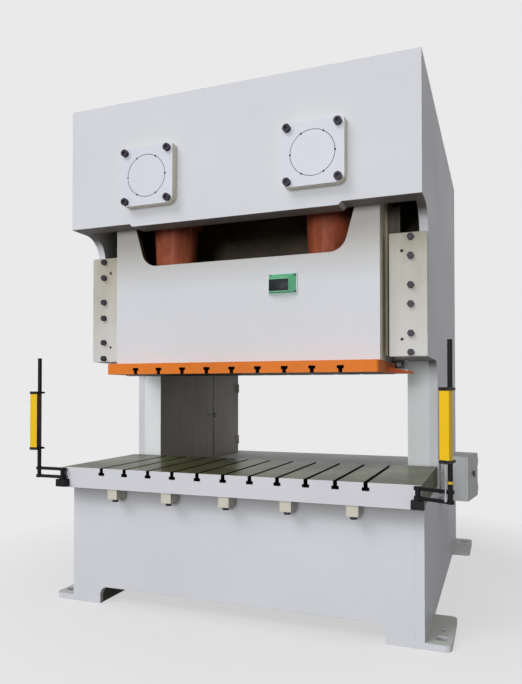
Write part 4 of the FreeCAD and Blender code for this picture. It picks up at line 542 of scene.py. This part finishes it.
def moulded(name, colour, rough, texture=320.0, depth=0.0003):
    """Moulded plastic or rubber with a fine even texture. Gives the shader and tone."""
    shader = Shader(name)
    patch = shader.noise(24.0)
    tone = shader.mix(shader.span(patch, 0.4, 0.7), linear(*colour), shade(colour, 0.8))
    shader.set(Roughness=shader.span(patch, 0.3, 0.7, rough - 0.05, rough + 0.08))
    shader.bump(shader.noise(texture, detail=2.0), strength=0.25, distance=depth)
    return shader, tone


def moulding(name, colour, rough):
    """Plain moulded plastic or rubber."""
    shader, tone = moulded(name, colour, rough)
    return shader.finished(tone)


def switch_plastic():
    """Limit switch: black housing with a pale front for its sockets."""
    shader, tone = moulded("switch_plastic", (38, 37, 38), rough=0.42)
    front = shader.within(y=(None, switch_low.y + SWITCH_FRONT_DEEP))
    return shader.finished(shader.cover(tone, front, (206, 204, 196)))


def display_plastic():
    """Display housing: green bezel on a pale back plate."""
    shader, tone = moulded("display_plastic", (96, 182, 134), rough=0.4, texture=400.0, depth=0.0001)
    back_plate = shader.within(y=(ram_front_y - DISPLAY_PLATE_DEEP, None))
    return shader.finished(shader.cover(tone, back_plate, (206, 214, 226)))


def glass(name, colour):
    """Dark window: satin tinted cover with faint smudges."""
    shader = Shader(name)
    smudge = shader.noise(30.0, detail=4.0, rough=0.6)
    tone = shader.mix(shader.span(smudge, 0.5, 0.8, to_high=0.5), linear(*colour), shade(colour, 2.2))
    shader.set(Roughness=shader.span(smudge, 0.3, 0.7, 0.35, 0.5), Specular_IOR_Level=0.15)
    return shader.finished(tone)


# ---------------------------------------------------------------- finishes of the CAD nodes and the fittings

PAINT = press_paint()
UPRIGHT = upright_paint()
GIB = gib_paint()
ROD = rod_primer()
CAST = steel("machined_steel", (74, 72, 68), 0.45, metal=0.6)
BRONZE = steel("bearing_bronze", (150, 108, 62), 0.38)
BLACK = enamel("blackened_steel", (50, 45, 56), rough=0.42, spread=0.1, edge=0.0015)
ARM_LEFT = arm_enamel("arm_black_left")
ARM_RIGHT = arm_enamel("arm_black_right", ARM_TAPE)
BELT = moulding("belt_rubber", (34, 34, 34), rough=0.7)
MOTOR = enamel("motor_enamel", (108, 122, 132), spread=0.05)
PLASTIC = moulding("black_plastic", (34, 33, 36), rough=0.42)
BOX = enamel("box_enamel", (196, 198, 200), spread=0.03)
CABLE = moulding("cable_grey", (176, 178, 182), rough=0.5)
PALE_PLASTIC = moulding("pale_plastic", (200, 200, 198), rough=0.45)
LOCK = steel("lock_steel", (62, 60, 60), 0.4, metal=0.5)
BRIGHT = steel("bright_steel", (168, 166, 158), 0.3)
SCREW = steel("screw_steel", (70, 80, 78), 0.4, metal=0.7)
LENS = glass("lens_window", (92, 66, 34))
DARK_GLASS = glass("display_glass", (24, 28, 34))
# Dark primed boxes under the bed; their darkness is also painted shade, seen through the arches.
UNDERFRAME = enamel("underframe_primer_and_shade", (74, 73, 66), rough=0.6)

FINISHES = {
    # Painted light: the bed's top is paler than the frame, where it lies in shade.
    "bed_top_plate": enamel("bed_top_painted_light", (238, 240, 242)), "ram_body": ram_paint(),
    "bolster": bolster_steel(), "ram_plate": plate_paint(), "crank_covers": cover_paint(),
    "limit_switch": switch_plastic(), "display_unit": display_plastic(),
    "curtain_sensor_left": sensor_case("left"), "curtain_sensor_right": sensor_case("right"),
    "curtain_arm_left": ARM_LEFT, "curtain_arm_right": ARM_RIGHT, "curtain_blocks": ARM_LEFT,
    "upright_left": UPRIGHT, "upright_right": UPRIGHT, "cabinet_door": UPRIGHT, "cabinet_lock": LOCK,
    "gib_plate_left": GIB, "gib_plate_right": GIB, "guide_liners": BRONZE, "crank_bushes": BRONZE,
    "gib_bolts": BLACK, "bolster_bolts": BLACK, "cover_bolts": BLACK, "motor": MOTOR, "drive_belts": BELT,
    "control_box": BOX, "control_box_door": BOX, "box_bracket": BOX, "door_latch": PLASTIC,
    "adjust_motor": PLASTIC, "sensor_lead": CABLE, "balance_rods": BRIGHT,
    "adjusting_screw_left": BRIGHT, "adjusting_screw_right": BRIGHT, "rod_left": ROD, "rod_right": ROD,
    "rod_cap_left": ROD, "rod_cap_right": ROD, "ball_seats": CAST, "crankshaft_left": CAST,
    "crankshaft_right": CAST, "crank_gear_left": CAST, "crank_gear_right": CAST,
    "drive_pinion_shaft": CAST, "idler_pinion_shaft": CAST, "clutch_unit": CAST, "flywheel": CAST,
    "motor_pulley": CAST,
}
for node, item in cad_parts.items():
    item.data.materials.clear()
    item.data.materials.append(FINISHES.get(node, PAINT))

# ---------------------------------------------------------------- the lead under the right sensor

LEAD_RADIUS = 0.004
LEAD_SPOT_ON_ARM = (0.214, -0.0495, 0)
PLUG_TOP_BELOW_SENSOR = 0.185
GLAND_HIGH = 0.028
GLAND_PROFILE = [(0, 0), (0.0052, 0), (0.0058, 0.010), (0.0085, 0.012), (0.0088, 0.020), (0.0075, 0.022),
                 (0.0075, GLAND_HIGH), (0, GLAND_HIGH)]
PLUG_HIGH = 0.04
PLUG_PROFILE = [(0, 0.002), (0.0055, 0.002), (0.0055, 0), (0.0078, 0), (0.0078, 0.016), (0.007, 0.017),
                (0.0065, 0.030), (0.0048, PLUG_HIGH), (0, PLUG_HIGH)]
lead_place = on_arm(CURTAINS["right"]) @ Matrix.Translation(LEAD_SPOT_ON_ARM)
gland_low_z = CURTAINS["right"]["sensor_z"] - GLAND_HIGH
plug_high_z = CURTAINS["right"]["sensor_z"] - PLUG_TOP_BELOW_SENSOR
LEAD_ROUTE = [(0, 0, gland_low_z), (0, 0, 1.165), (0.006, -0.003, 1.125), (-0.004, 0.002, 1.075),
              (0, 0, plug_high_z)]


def turned_on_lead(name, profile, low_z, material):
    """A turned piece on the lead's line."""
    place = lead_place @ Matrix.Translation((0, 0, low_z))
    return add_piece(name, lambda work: add_lathe(work, profile, place), "sensor_right",
                     material)


def sensor_lead():
    """The lead hangs from its gland in a slight bow down to its plug."""
    curve = bpy.data.curves.new("lead_line", "CURVE")
    curve.dimensions = "3D"
    curve.bevel_depth = LEAD_RADIUS
    curve.bevel_resolution = 4
    curve.resolution_u = 12
    line = curve.splines.new("NURBS")
    line.points.add(len(LEAD_ROUTE) - 1)
    for point, place in zip(line.points, LEAD_ROUTE):
        point.co = (*(lead_place @ Vector(place)), 1)
    line.order_u = 3
    line.use_endpoint_u = True
    lead = new_object("sensor_lead_cable", curve, "sensor_right", CABLE)
    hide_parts("sensor_lead")
    gland = turned_on_lead("sensor_lead_gland", GLAND_PROFILE, gland_low_z, PALE_PLASTIC)
    plug = turned_on_lead("sensor_lead_plug", PLUG_PROFILE, plug_high_z - PLUG_HIGH, CABLE)


sensor_lead()

# ---------------------------------------------------------------- fittings of the sensors

STRIP_SUNK, STRIP_ROUND = 0.001, 0.0008
CAP_SCREW_PROFILE = [(0, 0.0012), (0.0015, 0.0012), (0.0015, 0.002), (0.003, 0.0018), (0.0036, 0)]
CAP_SCREW_ASIDE = 0.022
CAP_SCREW_IN_FRONT = 0.0748
CAP_SCREW_FROM_END = 0.010


def sensor_strip(side, name, near, far, out, material):
    """A strip on the side that looks at the other sensor, between two distances in front of the post."""
    curtain = CURTAINS[side]
    ys = sorted((curtain["front"] * near, curtain["front"] * far))
    face_x = ARM_REACH - SENSOR_HALF_WIDE
    low = (face_x - out, ys[0], curtain["sensor_z"] + END_CAP_HIGH)
    high = (face_x + STRIP_SUNK, ys[1], curtain["sensor_z"] + SENSOR_LENGTH - END_CAP_HIGH)
    add_piece(name + side, lambda work: add_box(work, low, high, STRIP_ROUND, on_arm(curtain)),
              "sensor_" + side, material)


def sensor_screws(side):
    """Two small screws in each end cap's front."""
    curtain = CURTAINS[side]
    turn = Matrix.Rotation(math.radians(-90 * curtain["front"]), 4, "X")
    low_z = curtain["sensor_z"]

    def build(work):
        for end_z in (low_z + CAP_SCREW_FROM_END, low_z + SENSOR_LENGTH - CAP_SCREW_FROM_END):
            for aside in (-CAP_SCREW_ASIDE, CAP_SCREW_ASIDE):
                spot = Matrix.Translation((ARM_REACH + aside, curtain["front"] * CAP_SCREW_IN_FRONT, end_z))
                add_lathe(work, CAP_SCREW_PROFILE, on_arm(curtain) @ spot @ turn, steps=16)

    add_piece("sensor_screws_" + side, build, "sensor_" + side, SCREW)


for side in CURTAINS:
    sensor_strip(side, "sensor_lens_", near=0.0285, far=0.0565, out=0.0010, material=LENS)
    sensor_strip(side, "sensor_edge_", near=0.0567, far=0.0705, out=0.0016, material=PLASTIC)
    sensor_screws(side)

# ---------------------------------------------------------------- the ram's display

# Margins between the window and the edges of the display's box.
WINDOW_LEFT, WINDOW_RIGHT = 0.0155, 0.0555
WINDOW_BELOW, WINDOW_ABOVE = 0.0245, 0.0465
WINDOW_OUT, WINDOW_SUNK, WINDOW_ROUND = 0.0010, 0.0031, 0.0007
PLATE_SCREW_PROFILE = [(0.0085, 0), (0.0085, 0.006), (0.007, 0.009), (0.0025, 0.009), (0.0025, 0.006),
                       (0, 0.006)]
PLATE_SCREW_FROM_EDGE, PLATE_SCREW_FROM_BELOW = 0.017, 0.021
PLATE_SCREW_FOOT = 0.012


def display_window(work):
    """Dark window in the bezel."""
    add_box(work, (display_low.x + WINDOW_LEFT, display_low.y - WINDOW_OUT, display_low.z + WINDOW_BELOW),
            (display_high.x - WINDOW_RIGHT, display_low.y + WINDOW_SUNK, display_high.z - WINDOW_ABOVE),
            WINDOW_ROUND)


def display_screws(work):
    """Four socket screws in the display's back plate."""
    for x in (display_low.x + PLATE_SCREW_FROM_EDGE, display_high.x - PLATE_SCREW_FROM_EDGE):
        for z in (display_low.z + PLATE_SCREW_FROM_BELOW, display_high.z - PLATE_SCREW_FROM_EDGE):
            place = facing_front(x, ram_front_y - PLATE_SCREW_FOOT, z)
            add_lathe(work, PLATE_SCREW_PROFILE, place, steps=20)


add_piece("display_window", display_window, "ram", DARK_GLASS)
add_piece("display_screws", display_screws, "ram", SCREW)

# ---------------------------------------------------------------- sockets of the limit switch

SOCKET_SHARES = (0.36, 0.72)
SOCKET_HALF_WIDE = 0.015
SOCKET_BELOW, SOCKET_ABOVE = 0.015, 0.017
SOCKET_FRONT, SOCKET_BACK, SOCKET_ROUND = 0.004, 0.013, 0.0025
MOUTH_PROFILE = [(0.0085, 0), (0.0085, 0.002), (0.0055, 0.002), (0.0055, 0.0005), (0, 0.0005)]
MOUTH_FRONT = 0.0035


def switch_sockets(work):
    """Two square cable sockets with round mouths on the front of the limit switch."""
    wide = switch_high.x - switch_low.x
    middle_z = (switch_low.z + switch_high.z) / 2
    for share in SOCKET_SHARES:
        x = switch_low.x + wide * share
        add_box(work, (x - SOCKET_HALF_WIDE, switch_low.y + SOCKET_FRONT, middle_z - SOCKET_BELOW),
                (x + SOCKET_HALF_WIDE, switch_low.y + SOCKET_BACK, middle_z + SOCKET_ABOVE), SOCKET_ROUND)
        add_lathe(work, MOUTH_PROFILE, facing_front(x, switch_low.y + MOUTH_FRONT, middle_z), steps=24)


add_piece("switch_sockets", switch_sockets, "frame", PALE_PLASTIC)

# ---------------------------------------------------------------- inner sides of the feet

FOOT_BOX_HIGH, FOOT_BOX_ROUND = 0.135, 0.003
FOOT_BOX_X = (1.10, 1.295)
FOOT_BOX_Y = (0.98, 1.515)


def foot_boxes(work):
    """Closed box sections over the four feet, which show through the arches of the bed's walls."""
    for side in (-1, 1):
        for end in (-1, 1):
            xs = sorted(side * x for x in FOOT_BOX_X)
            ys = sorted(end * y for y in FOOT_BOX_Y)
            add_box(work, (xs[0], ys[0], 0), (xs[1], ys[1], FOOT_BOX_HIGH), FOOT_BOX_ROUND)


add_piece("foot_boxes", foot_boxes, "frame", UNDERFRAME)

# ---------------------------------------------------------------- floor, lamps and world

BACKGROUND = linear(234, 234, 235)
FLOOR_REACH, FLOOR_DROP = 30, 0.001
SHADOW_FADES = (2.0, 3.6)
SKY_COLOUR, SKY_STRENGTH = (1.0, 0.985, 0.95, 1), 0.31


def seen_directly(tree):
    """1 for rays from the camera, mirror rays and rays through glass, in a shader or a node tree."""
    path = tree.nodes.new("ShaderNodeLightPath")
    total = path.outputs["Is Camera Ray"]
    for name in ("Is Glossy Ray", "Is Transmission Ray"):
        either = tree.nodes.new("ShaderNodeMath")
        either.operation = "MAXIMUM"
        tree.links.new(total, either.inputs[0])
        tree.links.new(path.outputs[name], either.inputs[1])
        total = either.outputs[0]
    return total


def blended(tree, factor, first, second):
    """The first shader where the factor is 0, the second where it is 1."""
    node = tree.nodes.new("ShaderNodeMixShader")
    for source, target in zip((factor, first, second), node.inputs):
        tree.links.new(source, target)
    return node.outputs[0]


def floor_paint():
    """Floor that looks like the background with the press's shadow in it, which fades out further away."""
    shader = Shader("floor_paint")
    seen = seen_directly(shader)
    speck = shader.noise(6.0)
    lighting = shader.mottled(speck, (146, 146, 148), (150, 150, 152))
    visible = shader.mottled(speck, (236, 236, 237), (239, 239, 240))
    shader.set(Roughness=0.9, Specular_IOR_Level=0.0)
    x, y = shader.axis("x"), shader.axis("y")
    away = shader.calculate("SQRT", shader.calculate("ADD", shader.both(x, x), shader.both(y, y)))
    plain = shader.both(seen, shader.span(away, *SHADOW_FADES, to_low=0.7))
    glow = shader.add("ShaderNodeEmission", Color=BACKGROUND)
    surface = blended(shader, plain, shader.surface.outputs[0], glow.outputs[0])
    shader.join(surface, shader.nodes["Material Output"].inputs["Surface"])
    return shader.finished(shader.mix(seen, lighting, visible))


def lamp(name, strength, towards, spread):
    """A broad distant lamp shining along a direction."""
    data = bpy.data.lights.new(name, "SUN")
    data.energy = strength
    data.angle = math.radians(spread)
    item = bpy.data.objects.new(name, data)
    item.rotation_euler = Vector(towards).to_track_quat("-Z", "Y").to_euler()
    scene.collection.objects.link(item)


def background(tree, colour, strength):
    """A world of one colour."""
    node = tree.nodes.new("ShaderNodeBackground")
    node.inputs["Color"].default_value = colour
    node.inputs["Strength"].default_value = strength
    return node.outputs[0]


def add_floor():
    """Pale floor just under the feet."""
    corners = [(-FLOOR_REACH, -FLOOR_REACH, 0), (FLOOR_REACH, -FLOOR_REACH, 0),
               (FLOOR_REACH, FLOOR_REACH, 0), (-FLOOR_REACH, FLOOR_REACH, 0)]
    mesh = bpy.data.meshes.new("floor")
    mesh.from_pydata(corners, [], [(0, 1, 2, 3)])
    mesh.materials.append(floor_paint())
    floor = bpy.data.objects.new("floor", mesh)
    scene.collection.objects.link(floor)
    floor.location.z = -FLOOR_DROP


def add_world():
    """A plain sky that lights the press, seen as the background's grey."""
    world = bpy.data.worlds.new("studio")
    world.use_nodes = True
    tree = world.node_tree
    tree.nodes.clear()
    sky = background(tree, SKY_COLOUR, SKY_STRENGTH)
    wall = background(tree, BACKGROUND, 1)
    out = tree.nodes.new("ShaderNodeOutputWorld")
    tree.links.new(blended(tree, seen_directly(tree), sky, wall), out.inputs["Surface"])
    scene.world = world


add_floor()
lamp("key_lamp", strength=1.15, towards=(0.42, 0.62, -0.66), spread=30)
lamp("fill_lamp", strength=1.45, towards=(0.06, 1.0, -0.10), spread=20)
add_world()
scene.view_settings.view_transform = "Standard"
